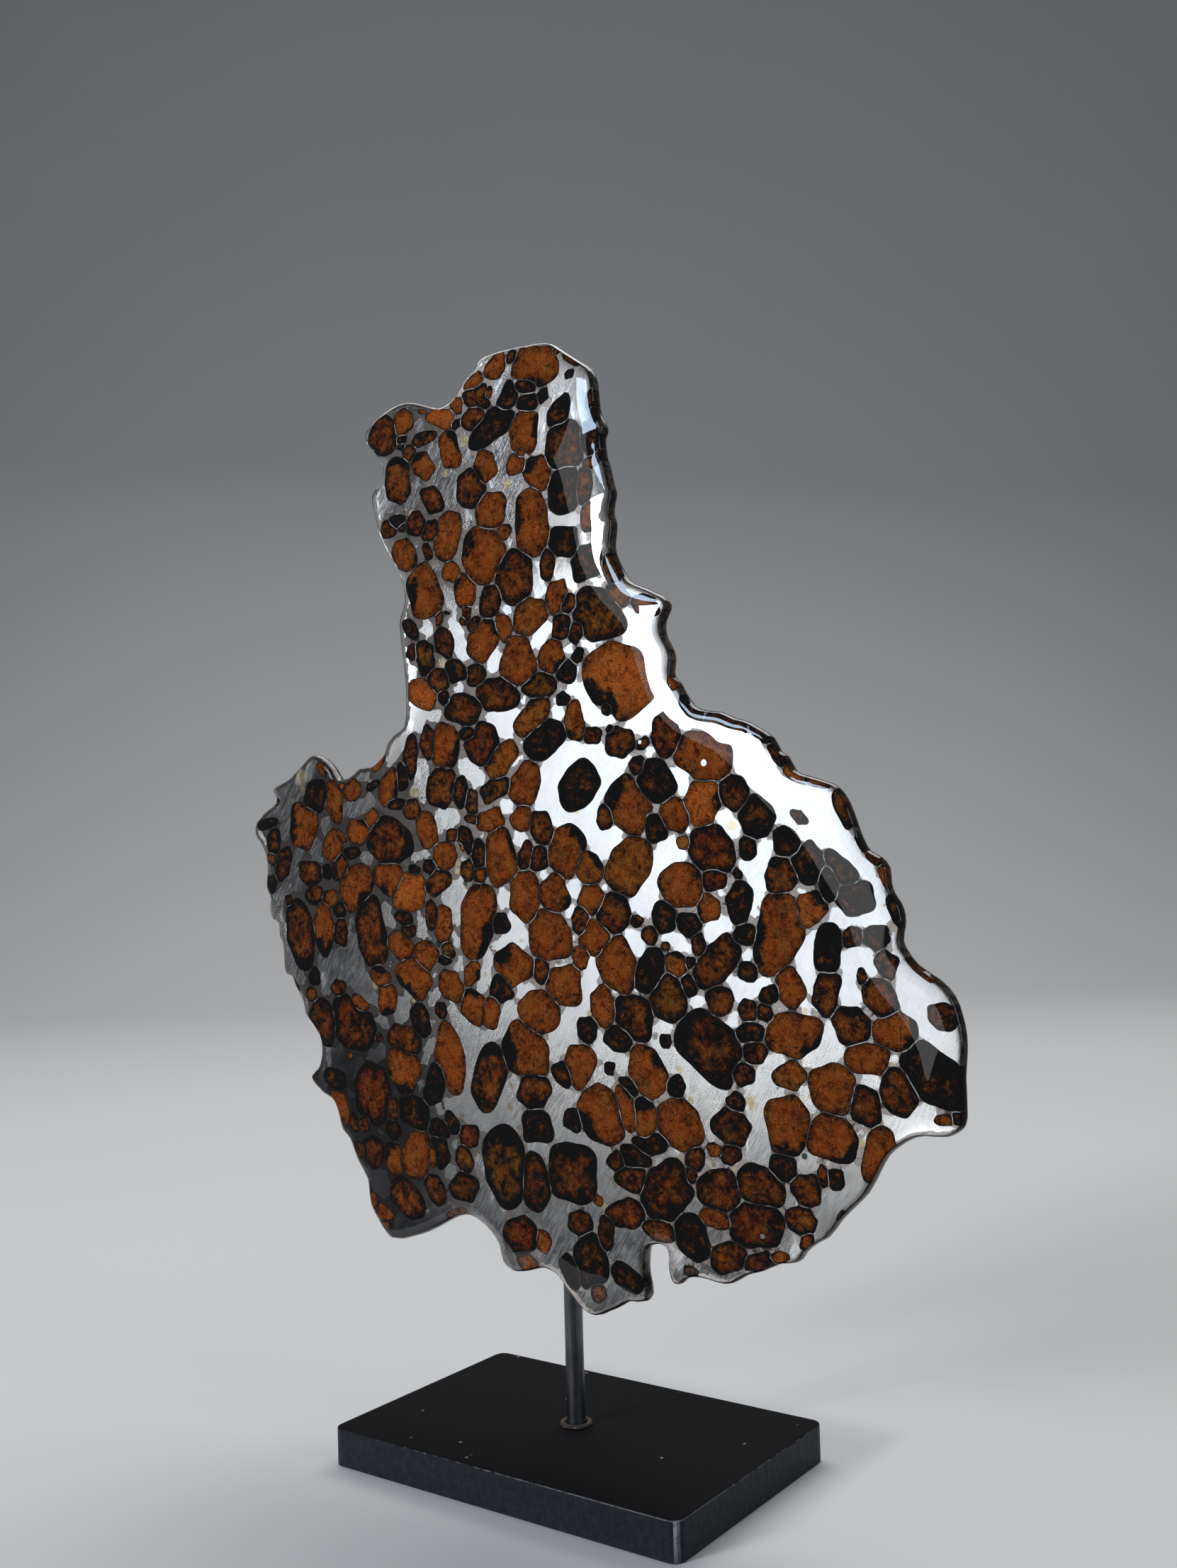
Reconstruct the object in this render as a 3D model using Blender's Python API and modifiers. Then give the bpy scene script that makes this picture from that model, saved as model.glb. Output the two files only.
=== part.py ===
"""A thin polished slice of stony-iron meteorite, sealed in clear resin, held on its edge by a steel rod
that stands in a heavy black plate.

Origin: centre of the plate's underside. +Z up, +X along the plate's long side, and the slice's polished
front looks along -Y. All sizes in metres.
"""
import math

import bmesh
import bpy

MM = 0.001
GAP = 0.3 * MM                     # left between pieces that touch

# Plate
PLATE_LENGTH = 100.0 * MM
PLATE_WIDTH = 65.6 * MM
PLATE_THICKNESS = 9.0 * MM
PLATE_CORNER_RADIUS = 2.8 * MM
PLATE_ARRIS = 0.35 * MM            # the small worn edge round the top and the bottom
SOCKET_DEPTH = 6.5 * MM            # blind hole that the rod is pressed into

# Rod
ROD_RADIUS = 2.25 * MM
ROD_ARRIS = 0.4 * MM
ROD_FOOT_Z = PLATE_THICKNESS - SOCKET_DEPTH + GAP

# Low bead of set adhesive where the rod enters the plate
BEAD_INNER_RADIUS = ROD_RADIUS + GAP
BEAD_OUTER_RADIUS = 4.0 * MM
BEAD_HEIGHT = 0.7 * MM
BEAD_ARC_STEPS = 5

# Slice: the slab of metal and crystals, and the resin on each of its faces
SLICE_CENTRE_Y = -9.1 * MM
SLAB_THICKNESS = 2.6 * MM
COAT_THICKNESS = 0.7 * MM
SLAB_INSET = 0.15 * MM             # the slab lies this far inside the outline
COAT_OVERHANG = 0.15 * MM          # and the resin runs this far past it

# Round saddle between the back of the slice and the rod
DISC_RADIUS = 8.0 * MM
DISC_CENTRE_Z = 120.0 * MM
DISC_BACK_Y = -0.6 * MM
DISC_ARRIS = 0.5 * MM
ROD_TOP_Z = DISC_CENTRE_Z + DISC_RADIUS - 1.5 * MM

ROUND_STEPS = 40
OUTLINE_STEPS = 2                  # straight pieces between two points of the outline

# Cut edge of the slice, seen from the front, in millimetres: (across, up), clockwise from the top
TOP_EDGE = [
    (-13.6, 271.5), (-10.0, 272.2), (-5.0, 272.3), (2.0, 271.9), (5.7, 271.6), (8.0, 270.8), (10.2, 269.2),
    (13.5, 266.7), (17.0, 264.1), (18.7, 262.7),
]
UPPER_RIGHT_EDGE = [
    (19.6, 261.0), (20.1, 258.9), (20.4, 255.0), (20.9, 251.8), (21.8, 249.9), (22.6, 248.2), (22.5, 247.0),
    (21.9, 245.9), (22.0, 243.1), (22.3, 241.1), (23.0, 239.0), (24.1, 234.0), (24.6, 232.4), (24.4, 231.0),
    (23.8, 228.7), (23.9, 226.8), (24.4, 225.4), (24.3, 223.0), (23.8, 219.7), (24.5, 216.9), (25.8, 214.3),
    (27.5, 211.5), (28.9, 210.0), (31.5, 208.7), (36.5, 206.2), (38.8, 204.4), (38.9, 203.1), (37.6, 200.8),
    (37.3, 198.0), (38.2, 195.6), (39.3, 193.6), (39.8, 191.4), (39.4, 188.8), (39.5, 187.5), (41.2, 185.5),
    (42.5, 183.1), (44.4, 180.5), (45.6, 179.4),
]
SHOULDER_EDGE = [
    (49.0, 178.3), (52.5, 177.7), (55.6, 176.2), (58.6, 175.3), (61.5, 173.7), (64.8, 171.4), (66.6, 168.2),
    (68.2, 167.1), (70.2, 163.7), (73.7, 162.3), (78.2, 160.8), (80.0, 159.9), (82.3, 156.7), (84.0, 152.1),
    (86.0, 147.2), (87.4, 145.8), (89.4, 144.7), (90.9, 142.7), (91.1, 139.6), (91.9, 137.2), (93.2, 135.3),
    (93.9, 133.0), (93.8, 130.5), (93.3, 127.7), (94.0, 125.9), (96.7, 122.5), (101.4, 119.5), (104.1, 116.6),
    (105.5, 112.8), (106.2, 109.0), (106.2, 105.5), (105.7, 100.5), (105.7, 94.0), (105.3, 91.0),
]
LOWER_RIGHT_EDGE = [
    (104.0, 89.8), (102.0, 88.9), (97.6, 88.7), (95.0, 88.1), (91.8, 86.3), (88.8, 83.8), (86.6, 80.3),
    (83.9, 75.7), (81.5, 73.2), (77.5, 69.3), (74.5, 65.5), (72.5, 64.3), (69.0, 61.6), (67.9, 60.0),
    (66.6, 59.2), (63.4, 58.6), (58.6, 56.3), (54.8, 55.0), (51.2, 52.8), (49.0, 52.3), (45.3, 52.7),
    (42.0, 52.8), (39.0, 52.0), (37.6, 50.8), (36.5, 50.5), (35.6, 51.6), (35.1, 54.9), (35.0, 57.6),
    (33.4, 58.8), (31.0, 58.6), (28.8, 57.6), (27.9, 55.0), (27.8, 51.0), (28.5, 46.8), (28.0, 45.5),
]
BOTTOM_EDGE = [
    (23.7, 44.8), (20.0, 42.8), (17.3, 41.5), (14.0, 40.1), (11.0, 40.8), (6.7, 44.6), (3.2, 48.0),
    (1.2, 48.8), (-1.4, 49.0), (-3.6, 48.4), (-8.0, 47.2), (-10.5, 47.2), (-13.0, 48.8), (-14.2, 52.7),
    (-16.8, 55.6), (-20.5, 58.0), (-23.5, 58.9), (-27.8, 58.2), (-32.5, 56.0), (-37.6, 53.4), (-43.1, 51.4),
    (-50.1, 50.0), (-51.8, 51.0), (-54.6, 54.1), (-57.2, 57.8), (-57.7, 61.0), (-58.2, 64.2), (-61.4, 68.4),
    (-63.3, 72.1), (-64.4, 74.1), (-66.9, 76.2), (-68.0, 79.2), (-69.2, 82.3), (-71.0, 84.3),
]
LEFT_EDGE = [
    (-73.6, 85.3), (-77.6, 88.1), (-78.2, 89.4), (-75.8, 91.5), (-74.6, 94.0), (-74.1, 97.0), (-75.1, 100.9),
    (-80.0, 106.0), (-81.0, 109.5), (-83.9, 113.7), (-85.3, 116.3), (-87.4, 117.0), (-88.1, 120.3),
    (-88.7, 125.5), (-89.8, 127.4), (-90.1, 130.6), (-92.1, 131.7), (-93.4, 134.2), (-93.2, 137.3),
    (-94.7, 140.9), (-94.2, 144.5), (-94.6, 149.2), (-96.5, 152.4), (-98.8, 155.7), (-98.2, 158.6),
    (-93.5, 161.8), (-90.3, 163.8), (-90.2, 165.8), (-91.2, 167.2), (-89.5, 168.3), (-85.1, 169.8),
    (-79.3, 174.0), (-75.8, 175.8), (-73.0, 174.9), (-69.4, 171.8), (-67.2, 169.1), (-64.6, 168.6),
    (-60.6, 169.8), (-58.6, 171.2), (-54.5, 171.3), (-50.7, 173.3), (-48.8, 175.3), (-47.7, 177.5),
]
UPPER_LEFT_EDGE = [
    (-46.3, 179.0), (-43.9, 180.1), (-42.2, 181.3), (-41.3, 183.4), (-41.0, 186.5), (-41.1, 194.7),
    (-41.9, 201.3), (-42.6, 207.6), (-42.2, 210.2), (-40.9, 212.9), (-40.6, 216.4), (-42.4, 222.0),
    (-46.2, 227.9), (-49.2, 233.7), (-51.0, 240.0), (-51.5, 242.9), (-50.4, 244.7), (-47.9, 246.3),
    (-47.2, 249.0), (-48.4, 252.6), (-52.1, 257.0), (-53.6, 259.6), (-51.7, 261.8), (-46.2, 264.5),
    (-40.5, 265.7), (-36.3, 265.1), (-29.0, 262.3), (-26.0, 262.1), (-22.4, 263.6), (-19.8, 266.5),
    (-15.5, 269.4),
]
OUTLINE = (TOP_EDGE + UPPER_RIGHT_EDGE + SHOULDER_EDGE + LOWER_RIGHT_EDGE + BOTTOM_EDGE + LEFT_EDGE
           + UPPER_LEFT_EDGE)

# Colours
METAL_GREY = (0.62, 0.61, 0.59)
RESIN_TINT = (0.97, 0.96, 0.93)
RESIN_IOR = 1.52
ROD_GREY = (0.10, 0.10, 0.11)
DISC_GREY = (0.45, 0.45, 0.46)
PLATE_BLACK = (0.012, 0.012, 0.014)
BEAD_BROWN = (0.16, 0.08, 0.04)


def clear_scene():
    for obj in list(bpy.data.objects):
        bpy.data.objects.remove(obj, do_unlink=True)


def make_collection(name):
    collection = bpy.data.collections.new(name)
    bpy.context.scene.collection.children.link(collection)
    return collection


def move_to(obj, collection):
    for old in list(obj.users_collection):
        old.objects.unlink(obj)
    collection.objects.link(obj)


def make_material(name, color, roughness, metallic=0.0, transmission=0.0, ior=1.5):
    material = bpy.data.materials.new(name)
    material.use_nodes = True
    shader = material.node_tree.nodes["Principled BSDF"]
    shader.inputs["Base Color"].default_value = (*color, 1.0)
    shader.inputs["Roughness"].default_value = roughness
    shader.inputs["Metallic"].default_value = metallic
    shader.inputs["Transmission Weight"].default_value = transmission
    shader.inputs["IOR"].default_value = ior
    return material


def finish_piece(obj, name, material, collection):
    obj.name = name
    obj.data.name = name
    obj.data.materials.clear()
    obj.data.materials.append(material)
    move_to(obj, collection)
    return obj


def shade_round(obj, angle=math.radians(35)):
    obj.data.shade_smooth()
    obj.data.set_sharp_from_angle(angle=angle)


def add_bevel(obj, width, segments, limit="ANGLE"):
    bevel = obj.modifiers.new("arris", "BEVEL")
    bevel.width = width
    bevel.segments = segments
    bevel.limit_method = limit
    return bevel


def make_slice_sheet(name, centre_y, thickness, grow, material, collection):
    """One flat sheet with the slice's outline, moved outwards by grow."""
    curve = bpy.data.curves.new(name, "CURVE")
    curve.dimensions = "2D"
    curve.fill_mode = "BOTH"
    curve.resolution_u = OUTLINE_STEPS
    curve.extrude = thickness / 2
    curve.offset = grow
    spline = curve.splines.new("BEZIER")
    spline.bezier_points.add(len(OUTLINE) - 1)
    for point, (across, up) in zip(spline.bezier_points, OUTLINE):
        point.handle_left_type = "AUTO"
        point.handle_right_type = "AUTO"
        point.co = (across * MM, up * MM, 0.0)
    spline.use_cyclic_u = True
    sheet = bpy.data.objects.new(name, curve)
    bpy.context.scene.collection.objects.link(sheet)
    sheet.rotation_euler = (math.pi / 2, 0.0, 0.0)
    sheet.location = (0.0, centre_y, 0.0)
    return finish_piece(sheet, name, material, collection)


def make_slice(collection):
    metal = make_material("slab_metal", METAL_GREY, 0.3, metallic=0.8)
    resin = make_material("resin", RESIN_TINT, 0.03, transmission=1.0, ior=RESIN_IOR)
    coat_shift = SLAB_THICKNESS / 2 + GAP + COAT_THICKNESS / 2
    make_slice_sheet("slice", SLICE_CENTRE_Y, SLAB_THICKNESS, -SLAB_INSET, metal, collection)
    for name, side in (("resin_front", -1), ("resin_back", 1)):
        make_slice_sheet(name, SLICE_CENTRE_Y + side * coat_shift, COAT_THICKNESS, COAT_OVERHANG,
                         resin, collection)


def make_cylinder(name, radius, start, end, steps, axis="Z"):
    """A cylinder along Z or Y, from start to end, its centre given by the two ends."""
    middle = [(a + b) / 2 for a, b in zip(start, end)]
    depth = math.dist(start, end)
    turn = (math.pi / 2, 0.0, 0.0) if axis == "Y" else (0.0, 0.0, 0.0)
    bpy.ops.mesh.primitive_cylinder_add(vertices=steps, radius=radius, depth=depth, location=middle,
                                        rotation=turn)
    cylinder = bpy.context.object
    cylinder.name = name
    return cylinder


def make_cutter(name, radius, start, end, cutters):
    cutter = make_cylinder(name, radius, start, end, ROUND_STEPS)
    cutter.hide_render = True
    cutter.display_type = "WIRE"
    move_to(cutter, cutters)
    return cutter


def cut(obj, cutter):
    boolean = obj.modifiers.new("cut", "BOOLEAN")
    boolean.operation = "DIFFERENCE"
    boolean.object = cutter


def make_rod(collection):
    rod = make_cylinder("rod", ROD_RADIUS, (0.0, 0.0, ROD_FOOT_Z), (0.0, 0.0, ROD_TOP_Z), ROUND_STEPS)
    add_bevel(rod, ROD_ARRIS, 2)
    shade_round(rod)
    steel = make_material("rod_steel", ROD_GREY, 0.38, metallic=0.9)
    finish_piece(rod, "rod", steel, collection)


def make_mount_disc(collection, cutters):
    """Round saddle glued to the back of the slice, grooved down its back for the rod."""
    coat_back_y = SLICE_CENTRE_Y + SLAB_THICKNESS / 2 + GAP + COAT_THICKNESS
    disc = make_cylinder("mount_disc", DISC_RADIUS, (0.0, coat_back_y + GAP, DISC_CENTRE_Z),
                         (0.0, DISC_BACK_Y, DISC_CENTRE_Z), ROUND_STEPS, axis="Y")
    add_bevel(disc, DISC_ARRIS, 2)
    groove = make_cutter("disc_groove", ROD_RADIUS + GAP,
                         (0.0, 0.0, DISC_CENTRE_Z - 2 * DISC_RADIUS),
                         (0.0, 0.0, DISC_CENTRE_Z + 2 * DISC_RADIUS), cutters)
    cut(disc, groove)
    shade_round(disc)
    steel = make_material("disc_steel", DISC_GREY, 0.35, metallic=0.95)
    finish_piece(disc, "mount_disc", steel, collection)


def make_plate(collection, cutters):
    bpy.ops.mesh.primitive_cube_add(size=1.0, location=(0.0, 0.0, PLATE_THICKNESS / 2))
    plate = bpy.context.object
    mesh = bmesh.new()
    mesh.from_mesh(plate.data)
    bmesh.ops.scale(mesh, vec=(PLATE_LENGTH, PLATE_WIDTH, PLATE_THICKNESS), verts=mesh.verts)
    upright = mesh.edges.layers.float.new("bevel_weight_edge")
    for edge in mesh.edges:
        low, high = edge.verts
        edge[upright] = 1.0 if abs(low.co.z - high.co.z) > PLATE_THICKNESS / 2 else 0.0
    mesh.to_mesh(plate.data)
    mesh.free()
    add_bevel(plate, PLATE_CORNER_RADIUS, 6, limit="WEIGHT")
    add_bevel(plate, PLATE_ARRIS, 2).angle_limit = math.radians(60)
    socket = make_cutter("rod_socket", ROD_RADIUS + GAP, (0.0, 0.0, PLATE_THICKNESS - SOCKET_DEPTH),
                         (0.0, 0.0, PLATE_THICKNESS + SOCKET_DEPTH), cutters)
    cut(plate, socket)
    shade_round(plate)
    paint = make_material("plate_paint", PLATE_BLACK, 0.42)
    finish_piece(plate, "base_plate", paint, collection)


def make_bead(collection):
    """A low rounded bead: half an ellipse turned about the rod."""
    middle = (BEAD_INNER_RADIUS + BEAD_OUTER_RADIUS) / 2
    half_width = (BEAD_OUTER_RADIUS - BEAD_INNER_RADIUS) / 2
    foot_z = PLATE_THICKNESS + GAP
    mesh = bmesh.new()
    profile = []
    for step in range(BEAD_ARC_STEPS + 1):
        angle = math.pi * step / BEAD_ARC_STEPS
        profile.append(mesh.verts.new((middle - half_width * math.cos(angle), 0.0,
                                       foot_z + BEAD_HEIGHT * math.sin(angle))))
    for start, end in zip(profile, profile[1:] + profile[:1]):
        mesh.edges.new((start, end))
    data = bpy.data.meshes.new("foot_bead")
    mesh.to_mesh(data)
    mesh.free()
    bead = bpy.data.objects.new("foot_bead", data)
    bpy.context.scene.collection.objects.link(bead)
    turn = bead.modifiers.new("turn", "SCREW")
    turn.axis = "Z"
    turn.angle = 2 * math.pi
    turn.steps = turn.render_steps = ROUND_STEPS
    turn.use_merge_vertices = True
    turn.merge_threshold = 0.01 * MM
    glue = make_material("bead_glue", BEAD_BROWN, 0.5)
    finish_piece(bead, "foot_bead", glue, collection)


def main():
    clear_scene()
    parts = make_collection("pallasite_slice_on_stand")
    cutters = make_collection("cutters")
    make_plate(parts, cutters)
    make_bead(parts)
    make_rod(parts)
    make_mount_disc(parts, cutters)
    make_slice(parts)


main()
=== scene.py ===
import math
import random
from functools import reduce

import bpy
import numpy as np
from mathutils import Matrix, Vector, geometry


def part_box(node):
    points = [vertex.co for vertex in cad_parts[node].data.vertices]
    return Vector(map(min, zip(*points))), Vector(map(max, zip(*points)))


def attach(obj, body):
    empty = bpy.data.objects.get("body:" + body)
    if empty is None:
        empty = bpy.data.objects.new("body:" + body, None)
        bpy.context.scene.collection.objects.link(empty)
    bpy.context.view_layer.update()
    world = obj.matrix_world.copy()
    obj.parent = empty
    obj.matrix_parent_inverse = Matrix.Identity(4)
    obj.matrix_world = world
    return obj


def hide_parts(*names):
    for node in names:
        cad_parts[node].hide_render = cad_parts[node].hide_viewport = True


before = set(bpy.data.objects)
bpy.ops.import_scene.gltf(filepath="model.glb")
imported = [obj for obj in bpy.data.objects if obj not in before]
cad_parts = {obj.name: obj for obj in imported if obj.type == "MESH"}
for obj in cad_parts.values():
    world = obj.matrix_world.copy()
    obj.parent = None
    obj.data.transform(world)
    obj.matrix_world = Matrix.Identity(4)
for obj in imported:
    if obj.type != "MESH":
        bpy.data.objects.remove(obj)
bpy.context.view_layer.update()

MM = 0.001
TOUCH = 1e-6

# The slab and its clear coat, front to back
SLAB_LOW, SLAB_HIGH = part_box("slice")
SLAB_FRONT = SLAB_LOW.y
SLAB_BACK = SLAB_HIGH.y
COAT_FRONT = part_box("resin_front")[0].y
COAT_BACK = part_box("resin_back")[1].y
COAT_RIM_DEPTH = 1.05 * MM         # the coat is this much thinner at its rim
COAT_STEEP_REACH = 0.7 * MM        # how far in the steep part of its domed rim reaches
COAT_GENTLE_REACH = 4.2 * MM       # and the gentle part
COAT_STEEP_ROUNDS = 60             # rounds in which each part settles
COAT_GENTLE_ROUNDS = 900
COAT_STEEP_SHARE = 0.24
COAT_BULGE = 0.35 * MM             # how far the side of the coat swells
COAT_BACK_RIM_DEPTH = 0.35 * MM
COAT_WALL_STEPS = 8
COAT_FINE_BAND = 6.0 * MM
COAT_COARSE_STEP = 3               # raster cells between two points away from the rim
COAT_RIM_CLEARANCE = 0.6           # raster cells left free inside the outline

RASTER = 0.5 * MM
RASTER_MARGIN = 4.0 * MM
KEEP_INSIDE = 1                    # tells the triangulation to fill only the loops
CORNER_NEARNESS = 1e-8             # and which corners it may merge, in metres

# Crystals
CRYSTAL_SEED = 31
CRYSTAL_RAYS = 48
CRYSTAL_GAP = 0.18 * MM            # metal left between two crystals that would touch
CRYSTAL_SQUARENESS = 2.3
CRYSTAL_WOBBLE = 0.045
WOBBLE_WAVES = (2, 3, 4, 5, 7)
WOBBLE_SHARES = (0.3, 1.0)         # least and most of the wobble that a wave gets
CRYSTAL_GROWTH = 1.06
CRYSTAL_REACH = 0.7 * MM           # how far a crystal's side swells to meet a neighbour, at most
CRYSTAL_REACH_SHARE = 0.16         # and as a share of its radius
CRYSTAL_FACETS = (5, 8)            # fewest and most flat sides
CRYSTAL_FACET_DEPTHS = (0.83, 0.95)
FACET_FACING = 0.2                 # cosine of the widest angle at which a flat side still cuts
MET_SHARE = 0.995                  # a side cut back below this share has met a neighbour
MET_ROUNDS = 5                     # rounds that soften the change from met sides to free ones
CUT_ROUNDS = 2                     # rounds that soften the cut sides
OVERLAP_SHARES = np.linspace(0.15, 1.0, 35)  # shares of a radius at which an overlap is looked for
LEAST_CUT = 0.1                    # share of a radius that is always kept
LEAST_RING_RADIUS = 0.05 * MM
LARGE_CRYSTAL = 3 * MM             # mean radius above which every ray is a corner of the mesh
SMALL_CRYSTAL = 1.2 * MM           # and up to which only every third is
INNER_RINGS = (0.3 * MM, 0.8 * MM)  # depths of the extra rings of points inside a crystal
RING_ROOM = 2.5                    # mean radius that a ring needs, in ring depths
DARK_SIDE_SHARE = 0.55             # of the crystals whose dark side isn't listed, how many have one
DARK_SIDE_STRENGTHS = (0.55, 0.85)

# Points between the crystals
FILL_SEED = 7
FILL_SPACING = 1.0 * MM
FILL_JITTER = 0.3                  # share of the spacing by which a point may be off
FILL_INSIDE = 0.99                 # least share of the grid points round a place that lie in the outline
GAP_LIMIT = 6 * MM                 # the most that a distance to a crystal counts
GAP_SEARCH = 5 * MM                # how far round each crystal distances are worked out
WIDE_METAL = 9.0                   # mm, the width that specks of bright metal are given
MARGIN_WIDTH = 1.5                 # mm of dull metal along the slab's left rim
MARGIN_EVEN = 0.55                 # share of that width on a rim that faces up or down
MARGIN_LEFTWARD = 0.45             # more on the left rim, and less on the right one
SPOT_RINGS = (0.1, 0.5, 0.9, 1.4)  # rings of points round a stain, in half widths
SPOT_SIDES = 10

# Each crystal: x, z, half length, half width in mm, turn of its long axis in degrees, and its tone.
# A digit after the tone is the side of its dark crescent, as on a number pad.
HEAD_CRYSTALS = [
    (-46.8, 258.7, 5.5, 5, -30, "b"), (-39.8, 260.9, 3.4, 3.2, 0, "o"),
    (-26.8, 259.4, 4.8, 2.4, -20, "l"), (-21.3, 261.8, 2.4, 1.9, -40, "o"),
    (-33, 262.3, 1.6, 0.6, -15, "o"), (-24, 250.8, 5.4, 3.1, -66, "o9"), (-32.7, 255.2, 4.2, 2, 5, "g"),
    (-40.2, 256.3, 1.8, 1.3, 0, "k"), (-40.5, 254.5, 1.3, 1, 0, "d"), (-37.8, 252.4, 2.3, 2.1, 0, "d"),
    (-33, 248.2, 4.4, 3.3, -50, "o7"), (-42, 245.6, 6.6, 4.2, -80, "b8"),
    (-30.3, 239, 4.4, 2.9, -45, "d"), (-17.8, 239.8, 5.2, 4.6, -30, "b"),
    (-12.3, 244.4, 4.2, 3.5, -75, "o"), (-10.8, 233.4, 4.8, 4.6, 0, "o"), (-25, 229.3, 6.2, 4.4, 70, "o"),
    (-30.8, 231.2, 3.1, 2.5, 0, "d"), (-35.8, 233.6, 3.4, 3.1, 0, "d"), (-45.9, 233.6, 3, 2.4, 0, "d"),
    (-42.6, 235.2, 3, 1.8, 0, "k"), (-40.7, 233.3, 1.5, 1.2, 0, "k"), (-40.5, 226.2, 4.7, 3.7, -35, "o"),
    (-32.1, 225.6, 2.6, 1.4, -60, "d"), (-15.7, 266.4, 3.3, 1.9, 30, "o"),
    (-14.3, 262.3, 4.8, 3.2, -10, "d"), (-16.2, 257.4, 4.2, 2.4, 20, "b"), (-9.4, 254.6, 8, 3.8, 28, "k"),
    (-21.7, 256.8, 1.6, 1.2, 0, "k"), (-10.9, 262.6, 1.8, 1.4, 90, "o"), (-8.4, 269.1, 3.5, 3, 60, "o"),
    (-3.3, 270.4, 1.8, 1.6, 90, "k"), (3.8, 266, 7, 5.6, -10, "o"), (0.5, 262.2, 4, 2.2, -15, "k"),
    (-4.6, 260.1, 4, 3, 60, "k"), (1.6, 257.9, 3.4, 2.5, 0, "k"), (6.2, 258.5, 2, 1.8, 0, "k"),
    (0.5, 251.3, 5.6, 4.6, 75, "o6"), (10.9, 254.3, 4.2, 3, 60, "k"), (-3, 243.4, 2.8, 2.6, 0, "o"),
    (-0.9, 246, 1.3, 1.2, 0, "o"), (4, 240, 4.3, 3.7, -55, "o7"), (12.9, 245.3, 6.6, 6.2, 90, "d"),
    (18.9, 245.5, 3.9, 3.2, 90, "k"), (11.8, 234.8, 6, 5.4, 90, "k"), (17.5, 235, 4.3, 2.8, 90, "d"),
    (19.6, 240, 2.4, 1.5, 0, "d"), (22.7, 241.3, 1.5, 1.2, 90, "d"), (20, 255, 2.6, 1.4, 90, "d"),
    (20.7, 251.3, 2.6, 1.5, 90, "k"), (14.5, 266, 3.4, 1, -38, "d"), (10.1, 268.6, 1.2, 0.8, 0, "o"),
    (14.1, 262.3, 1.5, 1.2, 0, "k"), (1.6, 228, 9.3, 4.7, -80, "o"), (-6.7, 227.3, 2.2, 2, 0, "o"),
    (11.5, 222.4, 4.4, 4, 0, "k2"), (18.5, 227, 3.6, 2.2, 80, "o"),
]
NECK_CRYSTALS = [
    (-14, 222.7, 7.4, 6.6, -35, "o"), (-24.3, 219.8, 2.9, 2.5, 0, "o"),
    (-33.6, 215.6, 6.9, 5.8, -75, "o4"), (-19.9, 213.9, 4.1, 3.4, -80, "o"),
    (-11.8, 210.6, 3.9, 3.3, 80, "d"), (-3.7, 215.6, 6.6, 5.6, -60, "b"), (-19.5, 208.6, 2, 1.7, 90, "d"),
    (-20.8, 206.6, 1.2, 1.1, 0, "d"), (-17.1, 205.6, 2.7, 1.5, 40, "d"),
    (-28.5, 208.1, 1.9, 1.3, 70, "d"), (-26.1, 209.3, 1.2, 0.5, -20, "k"),
    (-27.2, 201.7, 3.9, 3.1, -50, "d"), (-34, 199.1, 5.1, 3, -75, "g2"), (-38.6, 206.5, 3.5, 2, -50, "k"),
    (-38.6, 200.6, 2.2, 1.8, 90, "d"), (-34.9, 189.2, 5.1, 3.5, -35, "l"),
    (-29.4, 192.3, 3.6, 3.1, 0, "d"), (-27.9, 187.9, 2.2, 1.7, 0, "k"), (-23.2, 194.4, 3.6, 3, 0, "k"),
    (-17.1, 192.9, 3.1, 2.8, 0, "d"), (-14.4, 201, 5.6, 4.6, 60, "o"), (-7.8, 203.7, 3.5, 2.6, 80, "o"),
    (-3.5, 195.2, 5.9, 5.4, 90, "o"), (-10.3, 187, 6.7, 3.9, -8, "b"), (-21.3, 184.3, 6.2, 3.8, -15, "d"),
    (6.2, 217.6, 3.7, 2.3, 85, "d"), (8.6, 209.8, 4.3, 3, 70, "o"), (12.2, 207.2, 2.3, 2.3, 0, "b"),
    (17.7, 216.4, 4.8, 4.2, 0, "k"), (0.5, 205.5, 5.6, 4, 20, "y"), (9.5, 201.7, 3.1, 2.9, 0, "d"),
    (14.3, 200, 2.7, 2, 70, "d"), (20.7, 203.5, 8, 6, -40, "g"), (6.7, 195.1, 4.3, 3.5, 30, "o3"),
    (14.4, 194.4, 2, 1.7, 60, "k"), (11.1, 190.7, 2.9, 2.7, 0, "k"), (2.7, 188.1, 5.2, 2.8, 5, "g"),
    (26.2, 187.4, 11, 8, -40, "l1"), (22.5, 181.2, 1.7, 1.6, 0, "k"), (9.9, 184.5, 2, 1.8, 0, "k"),
    (0.5, 180.6, 6.2, 3.6, 35, "y"), (4.2, 175.7, 6.5, 4.5, 35, "k"), (13, 179.1, 4.9, 2.8, -85, "o"),
    (18.2, 175.2, 2.6, 2.1, 0, "d"), (25, 213.5, 4.3, 2.5, 90, "d"), (25.7, 225, 2.8, 1, 90, "d"),
    (26.8, 207.7, 4, 1.8, -40, "y"), (33.9, 204.4, 4.3, 2.2, -20, "r"), (40.8, 186.3, 2, 1.5, 90, "o"),
]
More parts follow.
